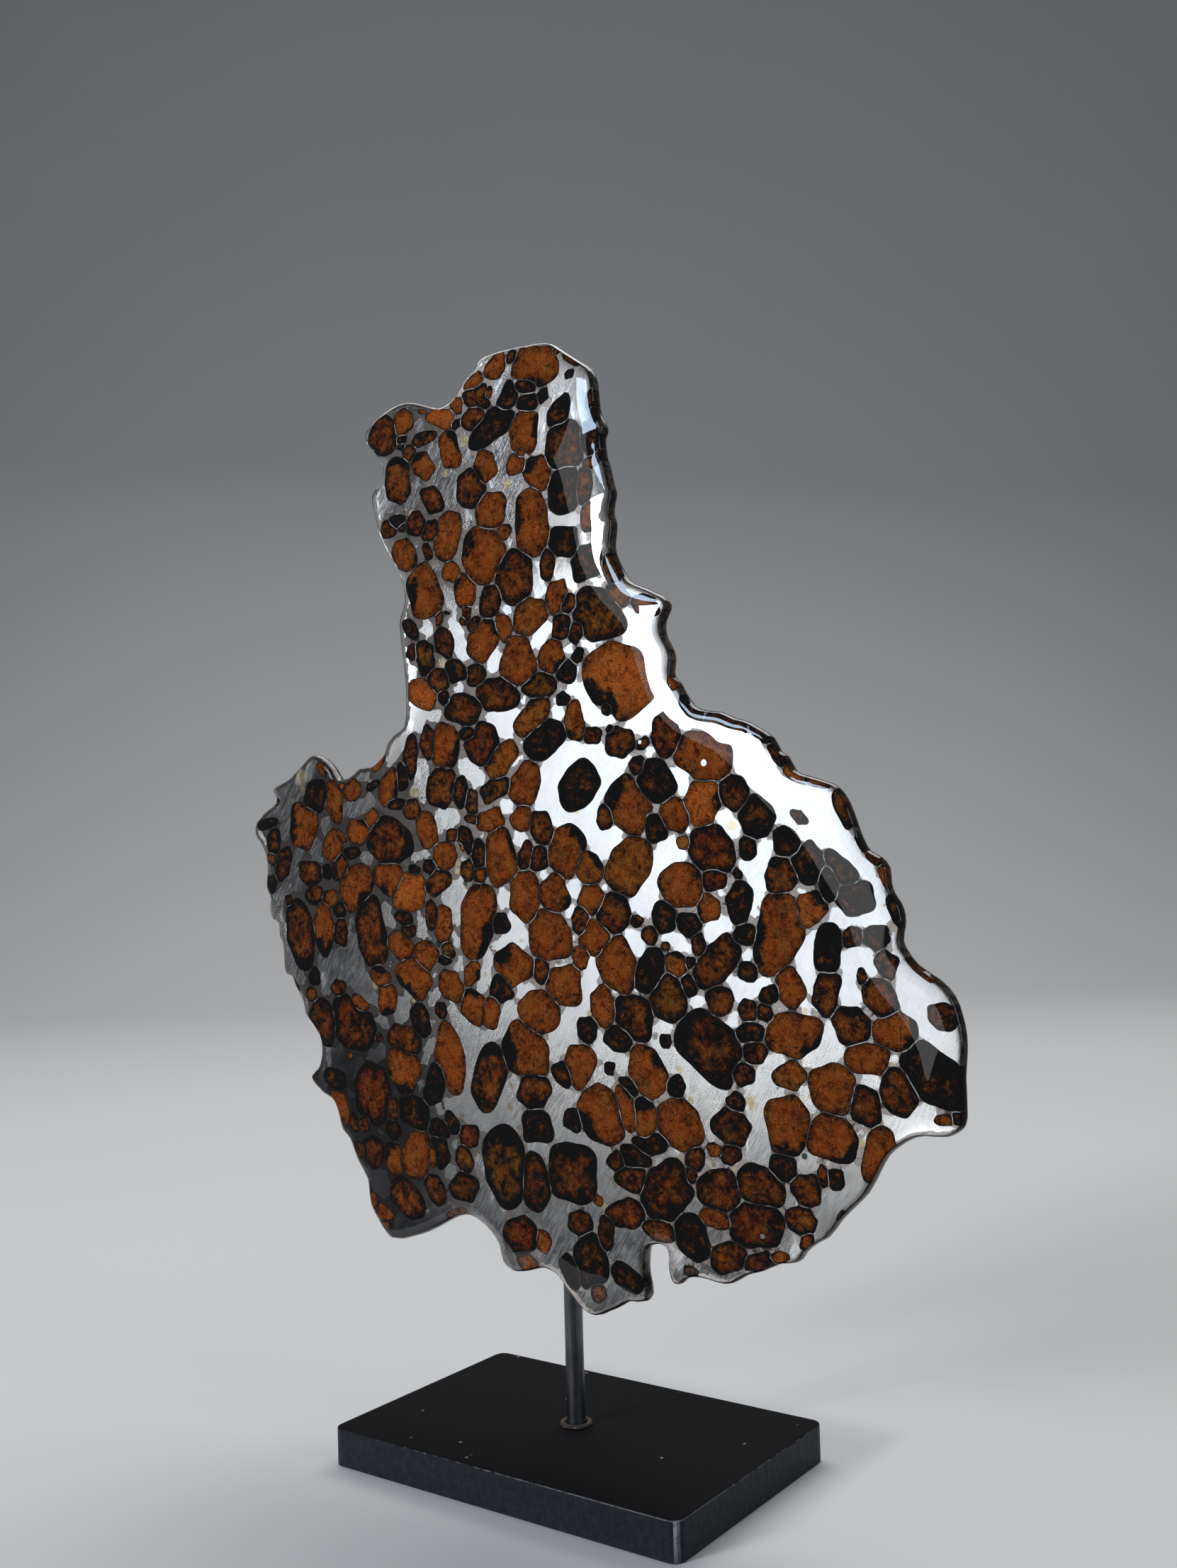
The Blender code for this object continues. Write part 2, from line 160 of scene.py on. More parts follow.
UPPER_LEFT_CRYSTALS = [
    (-79.3, 156.9, 6.6, 5.2, 90, "o4"), (-74.3, 164.8, 5, 4.3, 0, "k"), (-67.8, 163, 6.2, 3, -80, "o"),
    (-72.2, 172.2, 2.5, 1.2, -45, "o"), (-60.5, 166, 3.2, 2.8, 0, "o"), (-64.8, 167.2, 1.2, 0.9, 0, "y"),
    (-51, 172.3, 3.5, 1, 35, "o"), (-53.2, 166.7, 2.8, 1.2, 20, "k"), (-58.6, 155.2, 3.9, 3.5, 0, "o"),
    (-53.7, 158.5, 2.7, 1.9, 35, "o"), (-68.2, 151.5, 4.4, 3.4, 60, "o"), (-65.2, 154, 2.3, 1, -40, "o"),
    (-65.5, 145.8, 4, 2.6, 60, "b"), (-77, 144.4, 4.2, 3.2, -20, "b2"), (-75.4, 138.6, 3.2, 2.8, 0, "b"),
    (-69.7, 137.3, 2.9, 2.4, 0, "o"), (-60.5, 140, 7.2, 4.8, 40, "o3"), (-85.5, 137, 1.6, 1.4, 0, "d"),
    (-61, 149.3, 3.5, 1.6, 0, "k"), (-70.5, 144.5, 2, 2, 0, "k"), (-66, 134.5, 2.5, 2, 0, "k"),
    (-91.2, 153.2, 3.3, 2.8, 90, "k"), (-92.3, 148.4, 2.4, 1.5, -20, "b"),
    (-87.3, 146.8, 4.8, 2.8, 70, "d"), (-92.3, 141.5, 2.8, 2, 90, "k"), (-94, 158.2, 4.5, 1.5, 10, "k"),
    (-89.9, 164, 1.3, 1, 0, "k"), (-39.7, 173.5, 6.5, 2.4, 85, "d"), (-33.9, 177, 4.5, 2.2, 85, "b"),
    (-27.6, 175.6, 5.8, 4.4, 85, "o"), (-29.6, 165.4, 5.9, 4.3, 85, "b"),
    (-19.9, 178.2, 2.7, 2.1, 0, "k"), (-15.8, 175.5, 6, 4.9, -15, "r6"), (-9.5, 171, 6, 3.2, 35, "y"),
    (-12, 163.8, 4.7, 2.9, 20, "g"), (-2.4, 165.1, 5.6, 4.4, 80, "o"), (-13.3, 156.5, 4.3, 2.7, 15, "o"),
    (-23, 163.6, 4.3, 2.2, 85, "k"), (-19.4, 161.1, 3.2, 2.2, 85, "g"), (-19.7, 156.8, 2, 1.1, -10, "g"),
    (-39.5, 160, 2.9, 2.6, 0, "b"), (-34.3, 154.4, 4.7, 3.3, -75, "o"), (-47.2, 165.7, 5, 3.3, 65, "o6"),
    (-42.5, 168.8, 4.5, 2.3, 85, "k"), (-45, 161.7, 4, 1.5, -5, "k"), (-47.3, 152.3, 7.8, 5.8, -10, "b6"),
    (-28.5, 147.8, 3.7, 3.5, 0, "o"), (-26.2, 153.1, 2, 1.8, 0, "b"), (-22, 151.5, 3.3, 3, 90, "k"),
    (-23, 150, 2.2, 0.9, -65, "o"), (-17.6, 147, 5, 2.2, 90, "k"), (-10.8, 147, 7.8, 4.6, -85, "o"),
    (-21, 144.2, 2.8, 2.6, 0, "g"), (-17.5, 143.3, 2.4, 2.4, 0, "r"), (-48.3, 142.5, 5.5, 3.9, -20, "o"),
    (-41, 138.3, 5.9, 5, 10, "l"), (-31.3, 141.2, 4.6, 2.8, 20, "b"), (-34, 145.3, 2.3, 1.8, -30, "k"),
    (-39.2, 144.7, 2, 1.2, 0, "k"), (-3.7, 156.3, 3.4, 3, 0, "o"), (-2.5, 147.4, 3.2, 2.4, 80, "r"),
    (-3.1, 137.3, 5.9, 4.7, -80, "o"),
]
UPPER_RIGHT_CRYSTALS = [
    (2.3, 154.3, 4.6, 3.3, -60, "b"), (1.2, 146.8, 3.2, 3, 0, "d"), (26, 173.1, 4.2, 3.7, -20, "b"),
    (23.1, 176.3, 1.3, 1, 0, "k"), (38.7, 173.9, 4.9, 3.7, -80, "r"), (32.3, 172.5, 2, 1.4, 30, "k"),
    (30.5, 167.3, 2.4, 2.2, 0, "d"), (35.8, 163.8, 5.5, 4.9, -60, "k"), (40.5, 155.6, 3.9, 3.6, 0, "o"),
    (14, 163.6, 6.4, 5, 35, "k"), (21.2, 155.7, 2.9, 2.3, 90, "d"), (28, 158.5, 8, 5.2, -52, "o7"),
    (34.8, 153, 4.2, 2.5, -60, "k"), (28, 144.4, 7.2, 5.8, 35, "y"), (10.2, 148.3, 6, 5.4, -60, "o9"),
    (16.2, 144, 4.2, 3.7, -40, "y9"), (47.9, 158.3, 4.9, 4.8, 0, "l"), (42.4, 149.4, 1.8, 1.5, 0, "y"),
    (48.8, 168.3, 8.3, 5, -15, "o"), (50, 147.5, 5.8, 5.3, -50, "r"), (50.3, 141, 3.2, 2.8, 0, "r"),
    (41.7, 139.6, 5.7, 5.1, -10, "o"), (48.6, 134.5, 3.2, 3, 90, "o"), (6, 138, 4.7, 4.1, -60, "o"),
    (16.4, 136.8, 3.9, 3.4, -20, "o"), (13.2, 131.8, 3.4, 2.5, 90, "b"), (54, 174.9, 5.6, 2.6, -18, "b"),
    (45.5, 179.5, 4.2, 2, -50, "k"), (63.5, 172.5, 3.8, 1.6, -40, "k"), (67, 168, 4, 1.6, -52, "d"),
    (70.8, 163.6, 2.8, 1.6, -40, "y"), (76.5, 161.4, 3.6, 1.1, -15, "b"),
    (55.9, 160.3, 4.1, 3.5, 80, "d"), (61.8, 153.9, 4.7, 4.3, -40, "k"), (68.9, 149, 3.4, 3, 0, "k"),
    (73.5, 144.6, 4.6, 3.8, -60, "k"), (58.9, 147.7, 2.6, 2.3, 90, "k"), (56.3, 142.1, 1.3, 1.2, 0, "k"),
    (66.7, 141.6, 4.1, 3.6, 0, "b8"), (78.4, 139.8, 4.5, 2.2, 90, "k"), (81.5, 142.5, 5, 2.5, -50, "k"),
    (84.3, 136.5, 4.2, 3.8, 0, "k"), (72, 154, 2.4, 1.3, -45, "d"), (82.7, 154.8, 4.6, 1.9, -62, "d"),
    (86.5, 148, 2.6, 1.2, -60, "d"), (89.2, 145, 2.6, 1.4, -35, "b"), (91.4, 142, 3.6, 1.6, -75, "o"),
    (93.8, 133.8, 4, 1.9, -65, "k"),
]
MIDDLE_LEFT_CRYSTALS = [
    (-81.5, 128, 10.5, 5, -78, "b2"), (-72, 129.5, 7.5, 3.3, -85, "o2"),
    (-65.8, 128.3, 3.6, 2.5, 90, "d"), (-54.8, 128.5, 10, 5, -80, "b6"),
    (-51.5, 116.8, 3.5, 2.5, -15, "o8"), (-49.5, 111.3, 4, 3.4, 80, "o"),
    (-67.2, 113.8, 2.8, 2.1, 0, "b"), (-77.5, 111.5, 2.4, 1.8, 0, "b"), (-76, 116.5, 2.4, 2.4, 0, "k"),
    (-84, 113.8, 2.6, 1.2, -55, "d"), (-59.5, 109.6, 3.8, 2.2, -20, "o"), (-73.3, 104, 7, 4.5, -60, "d"),
    (-62, 104.5, 9, 6.5, -35, "d"), (-63.3, 95.8, 1, 0.9, 0, "y"), (-52.7, 101, 1.5, 1.2, 0, "r"),
    (-55.5, 87, 8.2, 6, -75, "r"), (-68.7, 89.4, 4.1, 2.7, -12, "k"), (-66.9, 82.2, 4.8, 2.6, -62, "o"),
    (-33.8, 132.9, 3.4, 2.1, 85, "b"), (-29.4, 130.7, 4.3, 3, 85, "o"), (-18.5, 131.5, 9, 5.6, 75, "o3"),
    (-43, 132.3, 3.6, 1.8, -15, "d"), (-41.5, 128.8, 2.4, 1.8, 10, "b"), (-44.2, 125, 4.8, 3.2, -35, "o"),
    (-35.5, 122.8, 4.2, 3.5, -20, "o"), (-40, 117, 6.2, 4.6, -35, "o1"), (-28.2, 124, 2.2, 1.9, 0, "g"),
    (-29.5, 121.6, 2.5, 1.2, 0, "k"), (-20.7, 118.3, 3, 2.6, 90, "o"), (-27.7, 115.5, 4.3, 3.8, -30, "o"),
    (-20.3, 110.3, 4.8, 3.8, -40, "o"), (-15, 109.3, 4, 3, -70, "o"), (-11.2, 114.8, 3.6, 3.2, -35, "k"),
    (-7.4, 120.8, 5.6, 5.1, -40, "o7"), (-10.8, 131, 2.9, 2.6, 0, "k"), (1.2, 119.5, 3.1, 2.1, 90, "b"),
    (-0.1, 109.6, 6, 5, 0, "o"), (-37.9, 106.3, 4.3, 3, -60, "k"), (-31.1, 109, 2.2, 2, 90, "d"),
    (-28.3, 97, 8.8, 4.6, -72, "o"), (-33.5, 90.3, 5.5, 3.4, 65, "k"), (-43.5, 100.8, 6, 3.5, -20, "b"),
    (-43.8, 93.5, 6.6, 5.4, -50, "o"), (-16, 92.8, 8.4, 4.8, 75, "b8"), (-4, 100.2, 8, 6.2, -25, "o4"),
    (-2, 91, 5.3, 4.4, 0, "b2"),
]
MIDDLE_RIGHT_CRYSTALS = [
    (22.8, 133.4, 5, 4.4, 10, "b9"), (29.2, 131.6, 2, 1.4, 0, "d"), (36.3, 132.4, 3.5, 3.3, 0, "k"),
    (43.2, 130.8, 3.2, 2.7, -15, "k"), (32.4, 128.3, 2.3, 2.2, 0, "d"), (36.9, 126, 1.2, 1.1, 0, "d"),
    (45.8, 126.7, 2.6, 1.9, 85, "d"), (4, 128.3, 7, 5.7, -10, "o"), (17.4, 127.4, 4.6, 4, -30, "o"),
    (23.2, 121.8, 7.6, 5, -72, "o"), (13.1, 122.8, 2.9, 2.2, -80, "o"), (8.2, 116.6, 5.2, 4.6, -10, "o"),
    (19, 111.9, 4.6, 3.4, -70, "o"), (32.3, 120.3, 5.4, 3.7, 70, "k8"), (39.6, 122, 3, 2.7, 0, "y"),
    (43.4, 122.5, 1.5, 1.3, 0, "k"), (37.3, 114.3, 5.3, 4.6, 80, "g"), (42.7, 117.2, 2.6, 1.9, -75, "k"),
    (50.3, 122.5, 8, 3.8, 42, "b"), (50.8, 113.9, 3.6, 3.1, 0, "b8"), (27.8, 109.5, 6, 4.8, -20, "d6"),
    (22.8, 104.6, 4.4, 2.9, -10, "k"), (14, 106, 3, 3, 0, "k"), (36.3, 104.6, 1.7, 1.7, 0, "k"),
    (31, 97.2, 5.9, 4.9, -60, "o9"), (38.8, 94.6, 2.6, 2.5, 0, "k"), (48, 103.5, 10.4, 6.4, -38, "d"),
    (12, 97.8, 5.5, 4.4, 75, "o"), (6.6, 95.7, 3.4, 2.6, -50, "k"), (18, 87.2, 7.6, 6.2, -50, "o1"),
    (24.6, 89, 6.3, 2.3, -82, "o"), (25.8, 93.8, 3, 1.6, -40, "k"), (30.3, 86.3, 5.4, 2.8, -82, "o"),
    (20.6, 97.5, 1.8, 1.5, 0, "k"), (56.3, 135.8, 4.3, 3.4, 75, "k"), (57.6, 128.9, 2.8, 2.5, 0, "k"),
    (65.5, 129, 9.3, 6.3, 70, "o4"), (74, 134.2, 4.2, 3.7, 30, "l9"), (58.2, 120.7, 2.5, 2.2, 0, "k"),
    (68.4, 118, 4.5, 3.5, -70, "o"), (63.3, 116, 3, 1.9, 15, "k"), (77.8, 126.3, 5.4, 3.2, 78, "k"),
    (76.7, 116.6, 4.8, 3.2, 72, "b"), (83.3, 128.3, 2.6, 2, 40, "d"), (88.8, 128.4, 3.2, 2.6, 0, "k"),
    (91, 122.9, 3, 2.5, -60, "d"), (98, 123.2, 4.6, 1.7, -42, "o"), (85.3, 120.5, 1.9, 1.1, 85, "d"),
    (89.2, 115.8, 4.4, 3.6, -35, "b"), (92.3, 109.3, 5, 3.8, -25, "o6"), (82.6, 110.1, 4.3, 4, -60, "b8"),
    (86.3, 103.3, 4.9, 3, 0, "o"), (100.2, 101.3, 9, 5, -52, "k"), (102.8, 112.8, 3.6, 2.6, -25, "d"),
    (92.4, 96.5, 4.7, 3.8, 90, "b"), (102.2, 92.1, 2.3, 1.1, 5, "y"), (105.2, 92.5, 1.5, 1.5, 0, "k"),
    (69, 107.6, 7.2, 4.3, 5, "o"), (67.8, 98.7, 3.9, 3, 20, "y"), (77.6, 96.8, 5.3, 5, 0, "o"),
    (85, 93.6, 4.6, 3.2, 90, "d"), (57.8, 112.5, 2.6, 2.3, -60, "b"), (61.8, 112, 2, 2, 0, "k"),
    (56, 98.5, 3.2, 2.6, 20, "d"), (59.3, 103.2, 3, 2.6, 0, "d"), (58.2, 107.3, 3.8, 2.4, 0, "k"),
    (54, 92.3, 2.3, 2.3, 0, "k"),
]
LOWER_LEFT_CRYSTALS = [
    (-40.8, 82.5, 5.4, 4, -15, "k"), (-27.9, 81.2, 3.2, 2.1, -60, "k"), (-32.6, 79.3, 3.3, 2.6, -20, "k"),
    (-48.2, 82.8, 2.8, 1.8, 80, "b"), (-48.3, 77.6, 2.6, 2.6, 0, "k"), (-59, 78.2, 2.4, 2, 0, "b"),
    (-62.5, 78.7, 2.5, 1.8, -60, "d"), (-55.3, 71.2, 4, 3.9, 0, "d"), (-60.8, 71.5, 2.2, 1.6, -60, "d"),
    (-48.2, 69.9, 4.1, 2.8, -75, "o7"), (-40.5, 72, 6.3, 4.6, 80, "o"), (-34.8, 72.5, 3.2, 1.4, 90, "o"),
    (-32.2, 73.4, 4, 2.8, -70, "k"), (-34.5, 63.8, 4, 3, -50, "b"), (-44.5, 60.5, 6.2, 4.5, -30, "b"),
    (-52.3, 55.8, 3, 2.4, -10, "o"), (-52, 53.3, 2, 1.4, -20, "r"), (-56.2, 59, 2.6, 1.5, -70, "b"),
    (-25, 65.3, 4.3, 3.6, 0, "d"), (-24.5, 72.3, 3.2, 2.6, -60, "g"), (-22.8, 78.5, 3.3, 2.8, 0, "r"),
    (-28, 58.8, 4, 1, 20, "b"), (-1.8, 82.3, 4.8, 4.1, 0, "k"), (9.3, 84.6, 2.7, 2.7, 0, "k"),
    (-11.3, 71.2, 9.6, 6.8, -80, "g8"), (-2.4, 68.8, 7.4, 4.2, 90, "d"), (9, 72.3, 7.8, 7.2, -15, "d8"),
    (16.3, 66.8, 1.5, 1.2, 90, "o"), (-7.5, 56, 5, 4.4, 0, "r"), (-5.4, 49.2, 3.4, 1.9, 0, "o"),
    (-0.3, 55.2, 2.8, 2.2, 80, "o"), (11, 61, 3.4, 2.9, 0, "d"), (18.3, 59.6, 4.2, 2.3, 85, "d"),
    (13.5, 52.5, 6.5, 4.8, 90, "k"), (7.5, 49, 4.5, 2.7, -70, "k"), (15.3, 45.2, 2.6, 2.1, 0, "b"),
    (23.5, 50, 4.4, 2.9, -25, "k2"),
]
LOWER_RIGHT_CRYSTALS = [
    (39.3, 86.3, 6.2, 5.3, -35, "o"), (31, 80.8, 5.5, 2.3, 10, "k"), (26.5, 77.6, 4.5, 3, 15, "k"),
    (21.8, 76.3, 2.7, 2.4, 0, "d"), (26, 72.8, 4.4, 3, -10, "b"), (35, 70.6, 7.6, 6, 35, "d3"),
    (24, 64.5, 6.2, 3.2, 10, "r"), (32.8, 61.8, 4.4, 2.5, -10, "b"), (42, 61.3, 5, 4.5, -30, "k"),
    (43, 78.5, 2.9, 2.4, 60, "d"), (42, 75.2, 2, 1.5, 90, "d"), (48, 81.4, 1.8, 1.6, 0, "o"),
    (52.9, 86.6, 5.1, 3.8, 0, "d"), (52.4, 80.5, 2.6, 2.2, 0, "d"), (49, 72, 5.5, 5, 0, "b"),
    (47.8, 66.2, 4.2, 2, -12, "o"), (59.5, 74.3, 5.6, 4.6, -15, "b"), (58, 66, 7.5, 5, 15, "r"),
    (70.8, 74.8, 3.5, 3.4, 0, "b"), (65.4, 79.1, 3.4, 2.8, 0, "k"), (51, 58, 4.8, 3.8, 15, "b"),
    (59, 58.3, 6, 1.8, 20, "r"), (41, 53.7, 2.4, 1.2, 0, "k"), (66.6, 88.3, 6.6, 5.7, 80, "o"),
    (77.3, 86.3, 5.8, 5, 0, "o3"), (87.3, 83.8, 6.6, 3, 68, "o"), (77.6, 77.8, 2.2, 2.1, 0, "k"),
    (74.6, 78.2, 2.4, 1.3, 90, "b"), (69.3, 68.3, 3.3, 3, 0, "b"), (70.2, 64, 2.3, 1.3, 50, "r"),
    (63, 59.7, 3.2, 1.3, 8, "o"), (78.5, 70.2, 1.8, 0.8, 50, "o"),
]
CRYSTALS = (HEAD_CRYSTALS + NECK_CRYSTALS + UPPER_LEFT_CRYSTALS + UPPER_RIGHT_CRYSTALS
            + MIDDLE_LEFT_CRYSTALS + MIDDLE_RIGHT_CRYSTALS + LOWER_LEFT_CRYSTALS + LOWER_RIGHT_CRYSTALS)

# Each tone: its bright colour, and how far dark patches take it over
TONES = {
    "o": ((0.420, 0.112, 0.013), 0.14),
    "l": ((0.620, 0.190, 0.026), 0.04),
    "y": ((0.430, 0.150, 0.016), 0.20),
    "b": ((0.340, 0.088, 0.013), 0.46),
    "r": ((0.330, 0.060, 0.013), 0.50),
    "g": ((0.300, 0.125, 0.015), 0.52),
    "d": ((0.290, 0.072, 0.013), 0.56),
    "k": ((0.290, 0.078, 0.013), 0.80),
}
NUMBER_PAD = {"1": (-1, -1), "2": (0, -1), "3": (1, -1), "4": (-1, 0), "6": (1, 0),
              "7": (-1, 1), "8": (0, 1), "9": (1, 1)}

# Pale yellow stains on the metal: x, z, half width in mm
STAINS = [
    (-80, 170.4, 2.2), (-79.5, 167.5, 1.2), (-83.5, 164, 1.0), (-78, 129.5, 1.0), (-54, 114.5, 1.3),
    (-38.3, 164.3, 1.8), (-24.5, 146, 1.3), (-24.5, 144, 1.1), (-40.5, 157.8, 0.9), (-14, 139.5, 0.9),
    (-40.4, 111.2, 0.8), (-9.3, 86.5, 1.2), (-9, 91.5, 0.9), (-4.7, 126.8, 0.8), (-16.3, 118.5, 0.8),
    (-25, 83, 0.9), (-8, 80.8, 0.8), (-6, 78, 0.8), (7.3, 62.3, 0.9), (21.8, 53.3, 0.9), (18, 65.8, 0.9),
    (14.8, 75, 0.8), (21, 71.5, 0.8), (31, 76.8, 0.8), (38.8, 78.5, 0.9), (43.8, 75.9, 0.8),
    (42.5, 91.8, 0.9), (53, 77.5, 0.9), (48, 78, 0.8), (15, 110, 0.8), (31.8, 112.5, 0.8),
    (39.5, 98.5, 0.9), (58, 92.5, 1.8), (86.5, 96.5, 1.0), (91.7, 102.5, 0.9), (93.6, 130.5, 1.1),
    (84, 86, 1.0), (72.5, 95, 1.0), (71.8, 112.8, 0.9), (13, 157.5, 0.9), (55.3, 152.8, 1.5),
    (-27.7, 196.5, 1.6), (-5.6, 239, 1.5), (-18.9, 252, 1.6), (-37.2, 236.4, 1.3), (-25.5, 245, 1.3),
]

# Dark teal spots on the metal: x, z, half width in mm
TEAL_SPOTS = [
    (-75, 135.8, 0.9), (-66.5, 136.5, 0.9), (-31.5, 125.5, 1.0), (-27.5, 126.3, 0.8), (-22, 141, 0.9),
    (67.6, 80.8, 0.8), (70.5, 82, 0.8),
]

# Specks of bright metal inside the crystals: x, z, half width in mm
INCLUSIONS = [
    (48.5, 167, 0.8), (59.6, 63.8, 0.6), (67.3, 60.3, 0.5), (47.5, 62.5, 0.5), (72, 80.2, 0.6),
    (18.2, 94.3, 0.6), (23.5, 99, 0.5), (6.5, 89.5, 0.6), (9.8, 89.8, 0.5), (4.8, 86.5, 0.5),
    (-38.5, 147.8, 0.7), (-35, 148.5, 0.6), (31.5, 172.8, 0.5),
]
INCLUSION_SIDES = 7

# Camera: worked out from the plate's corners and the rod
CAMERA_LENS = 34.86
CAMERA_SENSOR = 36.0
CAMERA_PLACE = Vector((0.22542, -0.30088, 0.14754))
CAMERA_FORWARD = Vector((-0.58353, 0.81081, 0.04553))
CAMERA_UP = Vector((0.04888, -0.02090, 0.99859))


def outline_of(node):
    """The outline of a flat CAD node seen from the front, in order, as (x, z) points."""
    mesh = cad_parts[node].data
    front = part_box(node)[0].y
    places = {}
    following = {}
    for face in mesh.polygons:
        corners = [mesh.vertices[i].co for i in face.vertices]
        if any(abs(corner.y - front) > TOUCH for corner in corners):
            continue
        keys = [(round(corner.x / TOUCH), round(corner.z / TOUCH)) for corner in corners]
        for key, corner in zip(keys, corners):
            places[key] = (corner.x, corner.z)
        for start, end in zip(keys, keys[1:] + keys[:1]):
            if start in following.get(end, ()):
                following[end].discard(start)
            else:
                following.setdefault(start, set()).add(end)
    start = next(key for key, ends in following.items() if ends)
    loop = [start]
    while True:
        ends = following[loop[-1]]
        here = next(iter(ends))
        if here == start:
            break
        loop.append(here)
    return np.array([places[key] for key in loop])


class Raster:
    """A square grid of points over the slab, which fields are worked out on."""

    def __init__(self, outline):
        self.low = outline.min(0) - RASTER_MARGIN
        size = np.ceil((outline.max(0) + RASTER_MARGIN - self.low) / RASTER).astype(int) + 1
        self.shape = tuple(size)
        self.x = self.low[0] + RASTER * np.arange(size[0])
        self.z = self.low[1] + RASTER * np.arange(size[1])
        self.grid_x, self.grid_z = np.meshgrid(self.x, self.z, indexing="ij")

    def inside(self, outline):
        """True at the points that lie inside the outline."""
        found = np.zeros(self.shape, bool)
        following = np.roll(outline, -1, axis=0)
        for (ax, az), (bx, bz) in zip(outline, following):
            if az == bz:
                continue
            rows = np.nonzero((self.z > min(az, bz)) & (self.z <= max(az, bz)))[0]
            crossings = ax + (self.z[rows] - az) / (bz - az) * (bx - ax)
            found[:, rows] ^= self.x[:, None] > crossings[None, :]
        return found

    def read(self, field, points):
        """The field's value at each point, blended between the four grid points round it."""
        place = (points - self.low) / RASTER
        cell = np.clip(np.floor(place).astype(int), 0, np.array(self.shape) - 2)
        share = place - cell
        i, j = cell[:, 0], cell[:, 1]
        u, v = share[:, 0], share[:, 1]
        return ((1 - u) * (1 - v) * field[i, j] + u * (1 - v) * field[i + 1, j]
                + (1 - u) * v * field[i, j + 1] + u * v * field[i + 1, j + 1])


def distance_to(outline, points):
    """Each point's distance to the outline, and how far to its left the outline lies, from -1 to 1."""
    start = outline
    run = np.roll(outline, -1, axis=0) - start
    length = (run ** 2).sum(1)
    nearest = np.full(len(points), 1e9)
    leftward = np.zeros(len(points))
    for a, b, c in zip(start, run, length):
        along = np.clip(((points - a) @ b) / c, 0, 1)
        gap = points - a - along[:, None] * b
        square = (gap ** 2).sum(1)
        closer = square < nearest
        nearest[closer] = square[closer]
        leftward[closer] = gap[closer, 0] / np.sqrt(np.maximum(square[closer], 1e-18))
    return np.sqrt(nearest), leftward


def settled_film(inside, reach, rounds):
    """The height of a liquid film, from 0 at its rim to 1 well inside, by surface tension."""
    height = np.where(inside, 1.0, 0.0)
    pull = (reach / RASTER) ** 2
    for _ in range(rounds):
        around = np.zeros_like(height)
        around[1:-1, 1:-1] = (height[2:, 1:-1] + height[:-2, 1:-1] + height[1:-1, 2:] + height[1:-1, :-2])
        height = np.where(inside, (pull * around + 1.0) / (4 * pull + 1.0), 0.0)
    return height


def triangulated(points, loops):
    """The points, triangles that keep each loop's edges, and the loops round each triangle."""
    corners = [Vector(point) for point in points]
    places, _, triangles, _, _, owners = geometry.delaunay_2d_cdt(corners, [], loops, KEEP_INSIDE,
                                                                  CORNER_NEARNESS, True)
    return np.array([tuple(place) for place in places]), triangles, owners


def open_edges(triangles):
    """The edges that only one triangle has, each from its start to its end."""
    edges = {(a, b) for t in triangles for a, b in ((t[0], t[1]), (t[1], t[2]), (t[2], t[0]))}
    return [(a, b) for a, b in edges if (b, a) not in edges]


def upright(points, depth):
    """Points of the slab's plane, set upright at a depth."""
    return np.column_stack([points[:, 0], np.full(len(points), depth), points[:, 1]])


def extruded(name, places, triangles, front, back):
    """A closed mesh of flat triangles at the front, the same at the back, and walls round them."""
    used, flat = np.unique(triangles, return_inverse=True)
    flat = flat.reshape(-1, 3)
    count = len(used)
    corners = np.vstack([upright(places[used], front), upright(places[used], back)])
    walls = sorted((b, a, a + count, b + count) for a, b in open_edges(flat.tolist()))
    mesh = bpy.data.meshes.new(name)
    mesh.from_pydata(corners.tolist(), [], flat.tolist() + (flat[:, ::-1] + count).tolist() + walls)
    mesh.update()
    return mesh, used


def add_values(mesh, **fields):
    """Numbers at each place of an extruded mesh, the same on its front and its back."""
    for name, values in fields.items():
        field = mesh.attributes.new(name, "FLOAT", "POINT")
        field.data.foreach_set("value", np.tile(np.asarray(values, np.float32), 2))


def add_colours(mesh, name, colours):
    """A colour at each place of an extruded mesh, the same on its front and its back."""
    field = mesh.attributes.new(name, "FLOAT_COLOR", "POINT")
    whole = np.column_stack([colours, np.ones(len(colours))]).astype(np.float32)
    field.data.foreach_set("color", np.tile(whole, (2, 1)).ravel())


def add_piece(name, mesh, material):
    """Puts a mesh in the scene as a piece that rides with the object."""
    piece = bpy.data.objects.new(name, mesh)
    bpy.context.scene.collection.objects.link(piece)
    mesh.materials.append(material)
    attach(piece, "root")
    return piece


def softened(table):
    """Each ray's value, blended with those of the two rays beside it."""
    return (np.roll(table, 1, axis=1) + 2 * table + np.roll(table, -1, axis=1)) / 4


def first_overlap(slack):
    """The share of a radius from which on a neighbour owns it: where the slack falls below 0."""
    first = int(np.argmax(slack < 0))
    if first == 0:
        return OVERLAP_SHARES[0]
    before, after = slack[first - 1], slack[first]
    low, high = OVERLAP_SHARES[first - 1], OVERLAP_SHARES[first]
    return low + (high - low) * before / (before - after)


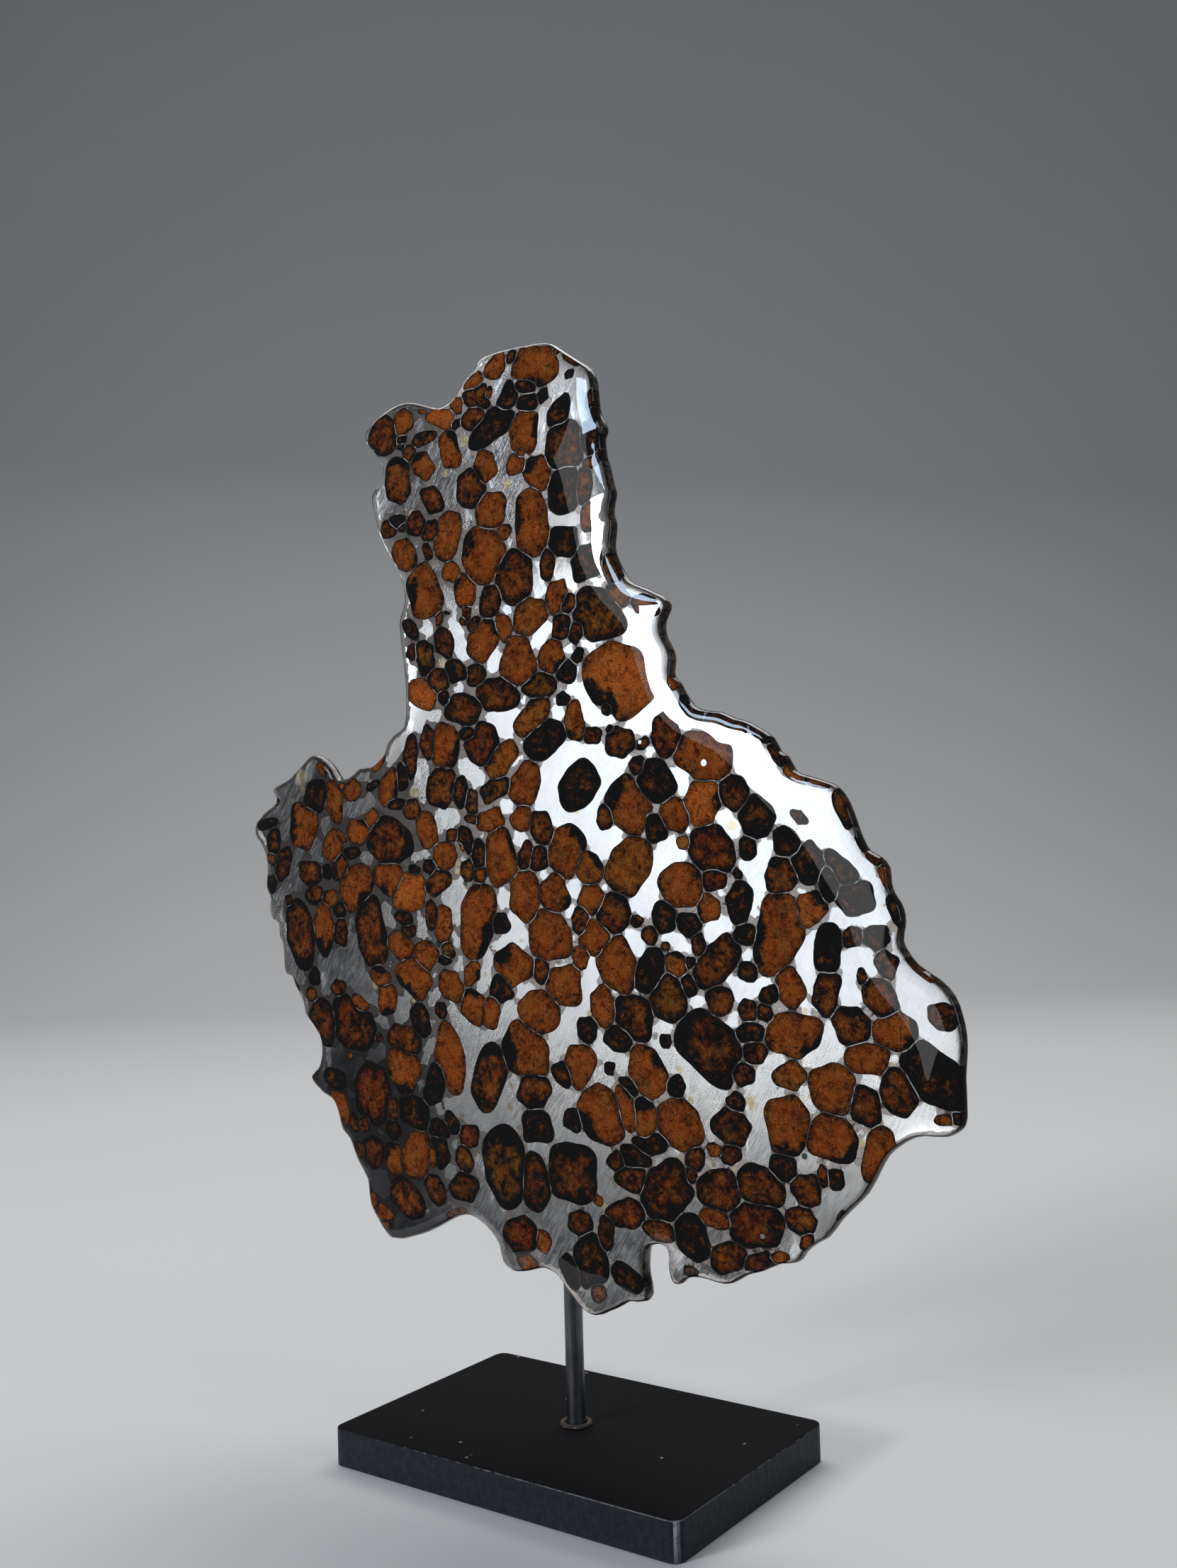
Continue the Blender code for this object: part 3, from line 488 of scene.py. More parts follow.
class Crystals:
    """Every crystal's rounded outline as its radius along evenly spread rays."""

    def __init__(self, rows):
        chance = random.Random(CRYSTAL_SEED)
        self.centres = np.array([(x, z) for x, z, *_ in rows]) * MM
        self.turns = 2 * math.pi * np.arange(CRYSTAL_RAYS) / CRYSTAL_RAYS
        self.free = np.array([self.free_radii(row, chance) for row in rows])
        self.radii = self.grown_together()
        self.tones = [row[5][0] for row in rows]
        self.dark_sides = np.array([self.dark_side(row[5][1:], chance) for row in rows])
        self.seeds = np.array([chance.random() for _ in rows])

    def dark_side(self, digit, chance):
        """Which way the crystal's dark crescent lies, and how strong it is."""
        if digit:
            across, up = NUMBER_PAD[digit]
            return across / math.hypot(across, up), up / math.hypot(across, up)
        turn = chance.uniform(0, 2 * math.pi)
        strength = chance.uniform(*DARK_SIDE_STRENGTHS) if chance.random() < DARK_SIDE_SHARE else 0.0
        return strength * math.cos(turn), strength * math.sin(turn)

    def free_radii(self, row, chance):
        """A rounded, slightly squared and uneven oval."""
        _, _, half_length, half_width, turn, _ = row
        angle = self.turns - math.radians(turn)
        power = CRYSTAL_SQUARENESS
        oval = (np.abs(np.cos(angle) / half_length) ** power + np.abs(np.sin(angle) / half_width) ** power)
        radii = oval ** (-1 / power) * MM
        for waves in WOBBLE_WAVES:
            swing = CRYSTAL_WOBBLE * chance.uniform(*WOBBLE_SHARES) / math.sqrt(waves - 1)
            radii = radii * (1 + swing * np.cos(waves * angle + chance.uniform(0, 2 * math.pi)))
        for _ in range(chance.randint(*CRYSTAL_FACETS)):
            facing = np.cos(self.turns - chance.uniform(0, 2 * math.pi))
            limit = chance.uniform(*CRYSTAL_FACET_DEPTHS) * (radii * facing).max()
            flat = np.minimum(radii, limit / np.maximum(facing, FACET_FACING))
            radii = np.where(facing > FACET_FACING, flat, radii)
        return radii * CRYSTAL_GROWTH

    def radius_at(self, index, angle, table):
        """The crystal's radius towards any angle."""
        place = (angle / (2 * math.pi) * CRYSTAL_RAYS) % CRYSTAL_RAYS
        low = np.floor(place).astype(int) % CRYSTAL_RAYS
        share = place - np.floor(place)
        return (1 - share) * table[index, low] + share * table[index, (low + 1) % CRYSTAL_RAYS]

    def grown_together(self):
        """Sides that have a neighbour near by swell to meet it, and the others keep their outline."""
        swollen = self.free + np.minimum(CRYSTAL_REACH_SHARE * self.free, CRYSTAL_REACH)
        cut = self.parted(swollen)
        meeting = np.where(cut < MET_SHARE * swollen, 1.0, 0.0)
        for _ in range(MET_ROUNDS):
            meeting = softened(meeting)
        return np.minimum(cut, softened(self.free + (cut - self.free) * meeting))

    def parted(self, table):
        """Radii cut back where two crystals would overlap, so that each keeps to its own side."""
        reach = table.max(1)
        cut = table.copy()
        rays = np.column_stack([np.cos(self.turns), np.sin(self.turns)])
        for i, centre in enumerate(self.centres):
            gaps = np.linalg.norm(self.centres - centre, axis=1)
            near = [j for j in np.nonzero(gaps < reach + reach[i] + CRYSTAL_GAP)[0] if j != i]
            spots = centre + rays[:, None, :] * (table[i][:, None] * OVERLAP_SHARES)[:, :, None]
            for j in near:
                away = spots - self.centres[j]
                angle = np.arctan2(away[..., 1], away[..., 0])
                slack = np.linalg.norm(away, axis=2) / self.radius_at(j, angle, table) - OVERLAP_SHARES
                for ray in np.nonzero((slack < 0).any(1))[0]:
                    whole = table[i, ray]
                    radius = max(first_overlap(slack[ray]) * whole - CRYSTAL_GAP / 2, LEAST_CUT * whole)
                    cut[i, ray] = min(cut[i, ray], radius)
        for _ in range(CUT_ROUNDS):
            cut = np.minimum(cut, softened(cut))
        return cut

    def loop(self, index, depth=0.0):
        """Points round a crystal, at a depth inside its outline."""
        mean = self.radii[index].mean()
        stride = 1 if mean > LARGE_CRYSTAL else 2 if mean > SMALL_CRYSTAL else 3
        if depth:
            stride *= 2
        radii = np.maximum(self.radii[index] - depth, LEAST_RING_RADIUS)[::stride]
        turns = self.turns[::stride]
        return self.centres[index] + np.column_stack([np.cos(turns), np.sin(turns)]) * radii[:, None]


def spread_points(raster, inside):
    """Loosely even points inside the outline."""
    chance = np.random.default_rng(FILL_SEED)
    stride = max(1, round(FILL_SPACING / RASTER))
    x = raster.grid_x[::stride, ::stride]
    z = raster.grid_z[::stride, ::stride]
    kept = inside[::stride, ::stride]
    points = np.column_stack([x[kept], z[kept]])
    return points + chance.uniform(-FILL_JITTER, FILL_JITTER, points.shape) * FILL_SPACING


def metal_gaps(raster, crystals):
    """At each grid point, the distances to the nearest and to the second nearest crystal."""
    first = np.full(raster.shape, GAP_LIMIT)
    second = np.full(raster.shape, GAP_LIMIT)
    for i, centre in enumerate(crystals.centres):
        reach = crystals.radii[i].max() + GAP_SEARCH
        columns = np.nonzero(np.abs(raster.x - centre[0]) < reach)[0]
        rows = np.nonzero(np.abs(raster.z - centre[1]) < reach)[0]
        if not len(columns) or not len(rows):
            continue
        window = np.ix_(columns, rows)
        dx = raster.grid_x[window] - centre[0]
        dz = raster.grid_z[window] - centre[1]
        gap = np.hypot(dx, dz) - crystals.radius_at(i, np.arctan2(dz, dx), crystals.radii)
        gap = np.maximum(gap, 0)
        closer = gap < first[window]
        second[window] = np.where(closer, first[window], np.minimum(second[window], gap))
        first[window] = np.minimum(first[window], gap)
    return first, second


def round_spot(x, z, half_width, sides):
    """Points round a small spot."""
    turns = 2 * math.pi * np.arange(sides) / sides
    return np.column_stack([x + half_width * np.cos(turns), z + half_width * np.sin(turns)]) * MM


def spot_strength(places, spots):
    """How strongly each place lies in one of the spots, from 0 to 1."""
    strength = np.zeros(len(places))
    for x, z, half_width in spots:
        away = np.hypot(places[:, 0] - x * MM, places[:, 1] - z * MM) / (half_width * MM)
        strength = np.maximum(strength, np.exp(-away ** 2))
    return strength


def slab_layout(raster, outline, crystals):
    """The points and triangles of the slab's plane, and the loops round each triangle."""
    numbers = range(len(crystals.centres))
    rings = [outline] + [crystals.loop(i) for i in numbers]
    rings += [round_spot(*speck, INCLUSION_SIDES) for speck in INCLUSIONS]
    ends = np.cumsum([len(ring) for ring in rings]).tolist()
    loops = [list(range(end - len(ring), end)) for ring, end in zip(rings, ends)]
    loose = [crystals.loop(i, depth) for i in numbers for depth in INNER_RINGS
             if crystals.radii[i].mean() > RING_ROOM * depth]
    loose += [round_spot(x, z, half_width * share, SPOT_SIDES)
              for x, z, half_width in STAINS + TEAL_SPOTS for share in SPOT_RINGS]
    inside = raster.inside(outline)
    loose = np.vstack(loose + [spread_points(raster, inside)])
    loose = loose[raster.read(inside.astype(float), loose) > FILL_INSIDE]
    return triangulated(np.vstack(rings + [loose]), loops)


def build_slab(raster, outline, crystals, materials):
    """The slab, cut in one plane into the metal and the crystals that grew in it."""
    places, triangles, owners = slab_layout(raster, outline, crystals)
    first_speck = 1 + len(crystals.centres)
    metal, olivine, owner_of = [], [], {}
    in_speck = np.zeros(len(places), bool)
    for triangle, owner in zip(triangles, owners):
        if 0 not in owner:
            continue
        if 0 < max(owner) < first_speck:
            olivine.append(triangle)
            owner_of.update({corner: max(owner) - 1 for corner in triangle})
            continue
        metal.append(triangle)
        if max(owner) >= first_speck:
            in_speck[triangle] = True
    build_metal(raster, outline, crystals, places, metal, in_speck, materials["metal"])
    build_olivine(crystals, places, olivine, owner_of, materials["olivine"])


def build_metal(raster, outline, crystals, places, triangles, in_speck, material):
    """The metal between the crystals, with what its material needs to know at each place."""
    metal_mesh, used = extruded("metal_web", places, np.array(triangles), SLAB_FRONT, SLAB_BACK)
    near, far = metal_gaps(raster, crystals)
    spots = places[used]
    gap = np.where(in_speck[used], WIDE_METAL, raster.read(near + far, spots) / MM)
    swathe = np.where(in_speck[used], WIDE_METAL, raster.read(near, spots) / MM)
    margin, leftward = distance_to(outline, spots)
    margin = margin / MM / (MARGIN_WIDTH * (MARGIN_EVEN + MARGIN_LEFTWARD * leftward))
    add_values(metal_mesh, gap=gap, swathe=swathe, margin=margin, stain=spot_strength(spots, STAINS),
               teal=spot_strength(spots, TEAL_SPOTS))
    metal_piece = add_piece("metal_web", metal_mesh, material)
    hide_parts("slice")


def build_olivine(crystals, places, triangles, owner_of, material):
    """All crystals as one piece, with what their material needs to know at each place."""
    olivine_mesh, used = extruded("olivine_crystals", places, np.array(triangles), SLAB_FRONT, SLAB_BACK)
    owner = np.array([owner_of[corner] for corner in used.tolist()])
    away = places[used] - crystals.centres[owner]
    angle = np.arctan2(away[:, 1], away[:, 0])
    radius = crystals.radius_at(owner, angle, crystals.radii)
    depth = np.maximum(radius - np.hypot(away[:, 0], away[:, 1]), 0)
    crescent = (away * crystals.dark_sides[owner]).sum(1) / np.maximum(radius, MM)
    tints = np.array([TONES[tone][0] for tone in crystals.tones])[owner]
    gloom = np.array([TONES[tone][1] for tone in crystals.tones])[owner]
    add_colours(olivine_mesh, "tint", tints)
    add_values(olivine_mesh, gloom=gloom, depth=depth / MM, core=depth / np.maximum(radius, MM),
               crescent=crescent, seed=crystals.seeds[owner])
    olivine_piece = add_piece("olivine_crystals", olivine_mesh, material)
    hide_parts("slice")


def coat_plane(raster, outline):
    """The coat's points and triangles seen from the front, and the film's height at each point."""
    inside = raster.inside(outline)
    steep = settled_film(inside, COAT_STEEP_REACH, COAT_STEEP_ROUNDS)
    gentle = settled_film(inside, COAT_GENTLE_REACH, COAT_GENTLE_ROUNDS)
    film = COAT_STEEP_SHARE * steep + (1 - COAT_STEEP_SHARE) * gentle
    grid = np.column_stack([raster.grid_x[inside], raster.grid_z[inside]])
    column, row = np.nonzero(inside)
    distance, _ = distance_to(outline, grid)
    coarse = (column % COAT_COARSE_STEP == 0) & (row % COAT_COARSE_STEP == 0)
    kept = (distance > COAT_RIM_CLEARANCE * RASTER) & ((distance < COAT_FINE_BAND) | coarse)
    points = np.vstack([outline, grid[kept]])
    places, triangles, owners = triangulated(points, [list(range(len(outline)))])
    height = raster.read(film, places)
    distance, _ = distance_to(outline, places)
    height[distance < TOUCH] = 0.0
    return places, np.array([t for t, owner in zip(triangles, owners) if owner]), height


def rim_loop(triangles):
    """The outer edge of flat triangles, as point numbers in order."""
    following = dict(open_edges(triangles))
    loop = [min(following)]
    while following[loop[-1]] != loop[0]:
        loop.append(following[loop[-1]])
    return loop


def build_coat(raster, outline, materials):
    """The clear resin round the slab, domed towards its rim like a film of liquid."""
    places, flat, height = coat_plane(raster, outline)
    count = len(places)
    front_rim = COAT_FRONT + COAT_RIM_DEPTH
    back_rim = COAT_BACK - COAT_BACK_RIM_DEPTH
    vertices = [upright(places, front_rim - COAT_RIM_DEPTH * height),
                upright(places, back_rim + COAT_BACK_RIM_DEPTH * height)]
    loop = rim_loop(flat.tolist())
    ring = places[loop]
    along = np.roll(ring, -1, axis=0) - np.roll(ring, 1, axis=0)
    outward = np.column_stack([along[:, 1], -along[:, 0]])
    outward /= np.linalg.norm(outward, axis=1)[:, None]
    rings = [loop]
    total = 2 * count
    for step in range(1, COAT_WALL_STEPS):
        share = step / COAT_WALL_STEPS
        swell = ring + outward * COAT_BULGE * math.sin(math.pi * share)
        vertices.append(upright(swell, front_rim + (back_rim - front_rim) * share))
        rings.append(list(range(total, total + len(ring))))
        total += len(ring)
    rings.append([index + count for index in loop])
    walls = []
    for near, far in zip(rings, rings[1:]):
        for k in range(len(loop)):
            following = (k + 1) % len(loop)
            walls.append((near[following], near[k], far[k], far[following]))
    faces = flat.tolist() + (flat[:, ::-1] + count).tolist() + walls
    mesh = bpy.data.meshes.new("clear_coat")
    mesh.from_pydata(np.vstack(vertices).tolist(), [], faces)
    mesh.shade_smooth()
    mesh.update()
    coat = add_piece("clear_coat", mesh, materials["resin"])
    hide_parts("resin_front", "resin_back")


# Numbers of the Mix node's sockets for colours
MIX_SHARE, MIX_FIRST, MIX_SECOND, MIX_RESULT = 0, 6, 7, 2


class Graph:
    """A material and the nodes that colour it."""

    def __init__(self, name):
        self.material = bpy.data.materials.new(name)
        self.material.use_nodes = True
        self.tree = self.material.node_tree
        self.shader = self.tree.nodes["Principled BSDF"]
        self.place = self.tree.nodes.new("ShaderNodeTexCoord").outputs["Object"]

    def add(self, kind, settings=(), **inputs):
        """A node with some settings, and its inputs set to values or linked to outputs."""
        made = self.tree.nodes.new(kind)
        for name, value in dict(settings).items():
            setattr(made, name, value)
        for name, value in inputs.items():
            self.set(made.inputs[name.replace("_", " ")], value)
        return made

    def set(self, socket, value):
        """Links a socket to an output, or sets it to a value."""
        if isinstance(value, bpy.types.NodeSocket):
            self.tree.links.new(value, socket)
        else:
            socket.default_value = value

    def shade(self, **inputs):
        """Sets the shader's own inputs."""
        for name, value in inputs.items():
            self.set(self.shader.inputs[name.replace("_", " ")], value)

    def value(self, name):
        """A number that the mesh carries at each point."""
        return self.add("ShaderNodeAttribute", {"attribute_name": name}).outputs["Fac"]

    def colour(self, name):
        """A colour that the mesh carries at each point."""
        return self.add("ShaderNodeAttribute", {"attribute_name": name}).outputs["Color"]

    def noise(self, size, detail=3.0, rough=0.55, warp=0.0, place=None, seed=None):
        """Noise whose features are about this size, from 0 to 1."""
        made = self.add("ShaderNodeTexNoise", {"noise_dimensions": "4D"}, Vector=place or self.place,
                        Scale=1.0 / size, Detail=detail, Roughness=rough, Distortion=warp)
        if seed is not None:
            self.set(made.inputs["W"], seed)
        return made.outputs["Fac"]

    def math(self, kind, *values):
        made = self.add("ShaderNodeMath", {"operation": kind})
        for socket, value in zip(made.inputs, values):
            self.set(socket, value)
        return made.outputs[0]

    def times(self, first, second):
        return self.math("MULTIPLY", first, second)

    def plus(self, first, second):
        return self.math("ADD", first, second)

    def most(self, first, second):
        return self.math("MAXIMUM", first, second)

    def spread(self, value, low, high, to_low=0.0, to_high=1.0, smooth=False):
        """The value's way from low to high, as the way from to_low to to_high."""
        kind = "SMOOTHSTEP" if smooth else "LINEAR"
        made = self.add("ShaderNodeMapRange", {"interpolation_type": kind}, Value=value, From_Min=low,
                        From_Max=high, To_Min=to_low, To_Max=to_high)
        return made.outputs["Result"]

    def zone(self, fades):
        """How far a place lies in a zone, from 0 to 1."""
        place = self.add("ShaderNodeSeparateXYZ", (), Vector=self.place).outputs
        shares = [self.spread(place[axis], start * MM, end * MM) for axis, start, end in fades]
        return reduce(self.times, shares)

    def blend(self, share, first, second, kind="MIX"):
        """The first colour, with a share of the second in it."""
        made = self.add("ShaderNodeMix", {"data_type": "RGBA", "blend_type": kind})
        self.set(made.inputs[MIX_SHARE], share)
        self.set(made.inputs[MIX_FIRST], self.full(first))
        self.set(made.inputs[MIX_SECOND], self.full(second))
        return made.outputs[MIX_RESULT]

    def full(self, colour):
        return colour if isinstance(colour, bpy.types.NodeSocket) else (*colour, 1.0)

    def stretched(self, turn, scale):
        """The object's coordinates turned about Y and squeezed, for streaks that run one way."""
        turned = self.add("ShaderNodeMapping", (), Vector=self.place, Rotation=(0, turn, 0))
        squeezed = self.add("ShaderNodeMapping", (), Vector=turned.outputs["Vector"], Scale=scale)
        return squeezed.outputs["Vector"]

    def moved(self, start, direction, share):
        """A vector, moved along a direction by a share of it."""
        shift = self.add("ShaderNodeVectorMath", {"operation": "SCALE"}, Scale=share)
        self.set(shift.inputs[0], direction)
        total = self.add("ShaderNodeVectorMath", {"operation": "ADD"})
        self.set(total.inputs[0], start)
        self.set(total.inputs[1], shift.outputs[0])
        return total.outputs[0]

    def cells(self, size, feature="F1", warp=0.0):
        """Cells of about this size, with their borders bent by the warp."""
        place = self.place
        if warp:
            swirl = self.add("ShaderNodeTexNoise", (), Vector=self.place, Scale=1.0 / size, Detail=2.0)
            place = self.moved(self.place, swirl.outputs["Color"], warp)
        return self.add("ShaderNodeTexVoronoi", {"feature": feature}, Vector=place, Scale=1.0 / size)

    def bump(self, height, strength, distance, normal=None):
        made = self.add("ShaderNodeBump", (), Height=height, Strength=strength, Distance=distance)
        if normal is not None:
            self.set(made.inputs["Normal"], normal)
        return made.outputs["Normal"]

    def leaning(self, direction, share):
        """The surface's normal, leaning a little in a direction."""
        normal = self.moved(self.add("ShaderNodeNewGeometry").outputs["Normal"], direction, share)
        return self.add("ShaderNodeVectorMath", {"operation": "NORMALIZE"}, Vector=normal).outputs[0]


BRUSH_TURN = math.radians(58)
BRUSH_SQUEEZE = (260, 400, 5200)    # features per metre along, through and across the scratches
STREAK_SQUEEZE = (260, 320, 1500)
PATCH_SQUEEZE = (150, 150, 70)
POLISH_LEAN = (0.048, 0.0, 0.045)   # turns the middle's gloss towards the key light, as in the photo
DULL_GAP = 1.8                      # mm of metal between two crystals, below which it is dull
DULL_GAP_FADE = 0.15
DULL_GAP_WANDER = 1.1               # how much that width wanders from place to place
DULL_GAP_LEFT = 1.4                 # and how much wider a dull gap may be at the left

# Zones of the metal. Each fades in along X or Z from the first place to the second, in mm.
BRIGHT_MIDDLE = (("Z", 65, 125), ("Z", 217, 206), ("X", -65, 0))
# Where the dull grey metal is darkened by painted shade
SHADED_GREY_LEFT = (("X", 10, -40),)
# Zones where the polished metal is streaky and darkened by painted shade
STREAKY_SHADED_LEFT = (("X", -42, -62),)
STREAKY_SHADED_HEAD = (("Z", 205, 225), ("X", 15, -5))
STREAKY_SHADED_FOOT = (("Z", 78, 55), ("X", 75, 50))
SHADED_LOW_LEFT = (("X", -30, -45), ("Z", 108, 95))
SHADED_FOOT_EDGE = (("X", 0, -25), ("Z", 66, 54))

# Colours of the metal. A pair is the darkest and the lightest.
POLISHED = ((0.70, 0.71, 0.73), (0.86, 0.86, 0.87))
SCRATCH = (0.97, 0.97, 0.97)
PIT = (0.34, 0.32, 0.31)
# brushed streaks, which also darken those zones as painted shade
STREAKS_AND_SHADE = ((0.26, 0.26, 0.265), (0.74, 0.75, 0.77))
DULL_METAL = ((0.38, 0.335, 0.32), (0.55, 0.50, 0.475))
# the dull metal at the left, darkened as painted shade
SHADED_DULL_METAL_LEFT = ((0.050, 0.045, 0.043), (0.150, 0.136, 0.130))
METAL_CRACK = (0.05, 0.04, 0.035)
SEAM = (0.62, 0.58, 0.54)
SHADED_METAL = (0.27, 0.27, 0.29)   # how much light is left on the metal in the shaded zones
STAIN = (0.64, 0.55, 0.33)
TEAL = (0.012, 0.035, 0.035)
GRIME = (0.03, 0.024, 0.02)
SAWN_METAL = ((0.020, 0.014, 0.011), (0.15, 0.12, 0.105))
SAWN_GLINT = (0.80, 0.72, 0.62)


def polished_metal(g, brushed, speck):
    """Bright scratched metal, streaky and darkened by painted shade at the slab's left, head and foot."""
    cloud = g.noise(7 * MM, detail=4.0, rough=0.6)
    bright = g.blend(g.spread(cloud, 0.35, 0.65), *POLISHED)
    bright = g.blend(g.spread(brushed, 0.42, 0.60, 0.0, 0.55), bright, SCRATCH)
    bright = g.blend(g.spread(speck, 0.60, 0.70, 0.0, 0.25), bright, PIT)
    streaks = g.noise(1.0, detail=4.0, rough=0.6, place=g.stretched(BRUSH_TURN, STREAK_SQUEEZE))
    streaks = g.plus(streaks, g.spread(cloud, 0.35, 0.65, -0.08, 0.08))
    # painted shade: the streaks darken the bright metal at the left, head and foot
    shaded_outer = reduce(g.most, [g.zone(zone) for zone in (STREAKY_SHADED_LEFT, STREAKY_SHADED_HEAD, STREAKY_SHADED_FOOT)])
    streaks = g.blend(g.spread(streaks, 0.36, 0.64), *STREAKS_AND_SHADE)
    return g.blend(shaded_outer, bright, g.blend(1.0, bright, streaks, "MULTIPLY"))


def dull_share(g, ragged, slow, leftward):
    """How dull the metal is: fully so in narrow gaps and along the slab's left rim."""
    width = g.plus(g.value("gap"), g.spread(slow, 0.3, 0.7, -DULL_GAP_WANDER, DULL_GAP_WANDER))
    width = g.plus(width, g.times(leftward, -DULL_GAP_LEFT))
    narrow = g.spread(width, DULL_GAP, DULL_GAP - DULL_GAP_FADE, smooth=True)
    hem = g.plus(g.value("margin"), g.spread(ragged, 0.3, 0.7, -0.4, 0.4))
    return g.most(narrow, g.spread(hem, 1.0, 0.85))


def dull_metal(g, speck, ragged, leftward, seam):
    """Speckled, cracked grey metal with painted shade to the left and a paler seam in the narrowest gaps.
    """
    lines = g.cells(2.6 * MM, "DISTANCE_TO_EDGE", 1.4 * MM).outputs["Distance"]
    cracks = g.times(g.spread(lines, 0.01, 0.04, 0.8, 0.0, smooth=True), g.spread(ragged, 0.46, 0.56))
    grit = g.spread(speck, 0.36, 0.64)
    # painted shade: the grey is darker towards the left
    grey = g.blend(leftward, g.blend(grit, *DULL_METAL), g.blend(grit, *SHADED_DULL_METAL_LEFT))
    return g.blend(seam, g.blend(cracks, grey, METAL_CRACK), SEAM)


def marked_metal(g, colour, ragged, seam):
    """Adds the stains, the teal spots and the grime round the crystals."""
    stained = g.times(g.value("stain"), g.spread(ragged, 0.35, 0.65, 0.6, 1.4))
    colour = g.blend(g.spread(stained, 0.25, 0.75, 0.0, 0.85, smooth=True), colour, STAIN)
    colour = g.blend(g.spread(g.value("teal"), 0.3, 0.6, 0.0, 0.95), colour, TEAL)
    grime = g.spread(g.value("swathe"), 0.16, 0.05, 0.0, 0.9, smooth=True)
    return g.blend(g.times(grime, g.math("SUBTRACT", 1.0, seam)), colour, GRIME)


def metal_material():
    """Polished iron and nickel with fine slanting scratches, dull and speckled where it is narrow."""
    g = Graph("meteorite_metal")
    brushed = g.noise(1.0, detail=4.0, rough=0.65, place=g.stretched(BRUSH_TURN, BRUSH_SQUEEZE))
    speck = g.noise(0.22 * MM, detail=3.0, rough=0.7)
    ragged = g.noise(1.6 * MM, detail=4.0, rough=0.6)
    slow = g.noise(5 * MM, detail=3.0)
    # painted shade: how far a place lies in the darkened left
    leftward = g.zone(SHADED_GREY_LEFT)
    seam = g.times(g.spread(g.value("gap"), 0.5, 0.3), g.spread(slow, 0.47, 0.53))
    dull = dull_share(g, ragged, slow, leftward)
    colour = g.blend(dull, polished_metal(g, brushed, speck), dull_metal(g, speck, ragged, leftward, seam))
    shaded = g.most(g.zone(SHADED_LOW_LEFT), g.zone(SHADED_FOOT_EDGE))
    colour = g.blend(shaded, colour, g.blend(1.0, colour, SHADED_METAL, "MULTIPLY"))
    colour = marked_metal(g, colour, ragged, seam)
    wall = sawn_side(g)
    colour = g.blend(wall, colour, g.blend(g.spread(ragged, 0.42, 0.60), *SAWN_METAL))
    colour = g.blend(g.times(wall, glints(g, 0.8 * MM, 0.80)), colour, SAWN_GLINT)
    patches = g.noise(1.0, detail=2.0, place=g.stretched(0.0, PATCH_SQUEEZE))
    matt = g.most(g.zone(BRIGHT_MIDDLE), g.spread(patches, 0.57, 0.66, 0.0, 0.7, smooth=True))
    rough = g.plus(g.spread(brushed, 0.35, 0.65, 0.15, 0.23), g.times(matt, 0.15))
    rough = g.plus(rough, g.times(dull, 0.12))
    height = g.plus(brushed, g.times(g.times(speck, dull), 0.8))
    g.shade(Base_Color=colour, Roughness=rough, Metallic=g.spread(dull, 0, 1, 1.0, 0.7), Anisotropic=0.5,
            Anisotropic_Rotation=0.25, Normal=g.bump(height, 0.5, 0.03 * MM, g.leaning(POLISH_LEAN, matt)))
    return g.material


# How far apart the crystals' noises lie, and the noise of their hue from the others
SEED_SPREAD = 40.0
HUE_SEED_STEP = 7.0

# Colours of the olivine, besides its tones
MOTTLED = (1.0, 0.70, 0.48)
AMBER = (0.52, 0.19, 0.018)
GREENISH = (0.26, 0.15, 0.022)
REDDISH = (0.44, 0.065, 0.010)
GRAIN = ((0.60, 0.55, 0.50), (1.8, 1.8, 1.8))
VEIN = (0.62, 0.30, 0.10)
CRYSTAL_BLACK = (0.009, 0.009, 0.010)
# tiny glints in the crystals: painted highlights
PAINTED_CRYSTAL_GLINT = (0.90, 0.58, 0.30)
SAWN_CRYSTAL = (0.010, 0.007, 0.005)


def crystal_darkness(g, broad, mottle):
    """How dark a crystal is: by its tone, its patches, its rim, its dark side and its cracks."""
    rim = g.plus(g.value("depth"), g.spread(mottle, 0.3, 0.7, -0.12, 0.12))
    rim = g.spread(rim, 0.12, 0.34, 0.95, 0.0, smooth=True)
    wander = g.plus(g.spread(broad, 0.35, 0.65, -0.24, 0.24), g.spread(mottle, 0.35, 0.65, -0.07, 0.07))
    ledge = g.spread(g.plus(g.value("crescent"), wander), 0.22, 0.72, 0.0, 0.95, smooth=True)
    edge = g.plus(g.value("core"), g.spread(broad, 0.35, 0.65, -0.14, 0.14))
    edge = g.spread(edge, 0.0, 0.42, 0.46, 0.0, smooth=True)
    total = g.plus(g.plus(g.value("gloom"), edge), g.spread(broad, 0.36, 0.64, -0.30, 0.30))
    total = g.plus(total, g.spread(mottle, 0.36, 0.64, -0.28, 0.28))
    return reduce(g.most, (ledge, rim, dark_cracks(g, mottle)), total)


def crystal_colour(g, seed, broad, mottle):
    """A crystal's tint, shifted in patches, with grain and a few pale veins."""
    warm = g.blend(g.spread(mottle, 0.38, 0.64), g.colour("tint"), MOTTLED, "MULTIPLY")
    warm = g.blend(g.spread(broad, 0.5, 0.3, 0.0, 0.45), warm, AMBER)
    hue = g.noise(2.3 * MM, detail=4.0, rough=0.6, warp=0.5, seed=g.plus(seed, HUE_SEED_STEP))
    warm = g.blend(g.spread(hue, 0.53, 0.68, 0.0, 0.6), warm, GREENISH)
    warm = g.blend(g.spread(hue, 0.47, 0.33, 0.0, 0.6), warm, REDDISH)
    grain = g.noise(0.26 * MM, detail=3.0, rough=0.7, seed=seed)
    grained = g.blend(1.0, warm, g.blend(g.spread(grain, 0.40, 0.62), *GRAIN), "MULTIPLY")
    veins = g.cells(5.5 * MM, "DISTANCE_TO_EDGE", 2.6 * MM).outputs["Distance"]
    veins = g.times(g.spread(veins, 0.008, 0.022, 0.55, 0.0), g.spread(broad, 0.48, 0.6))
    return g.blend(veins, grained, VEIN)


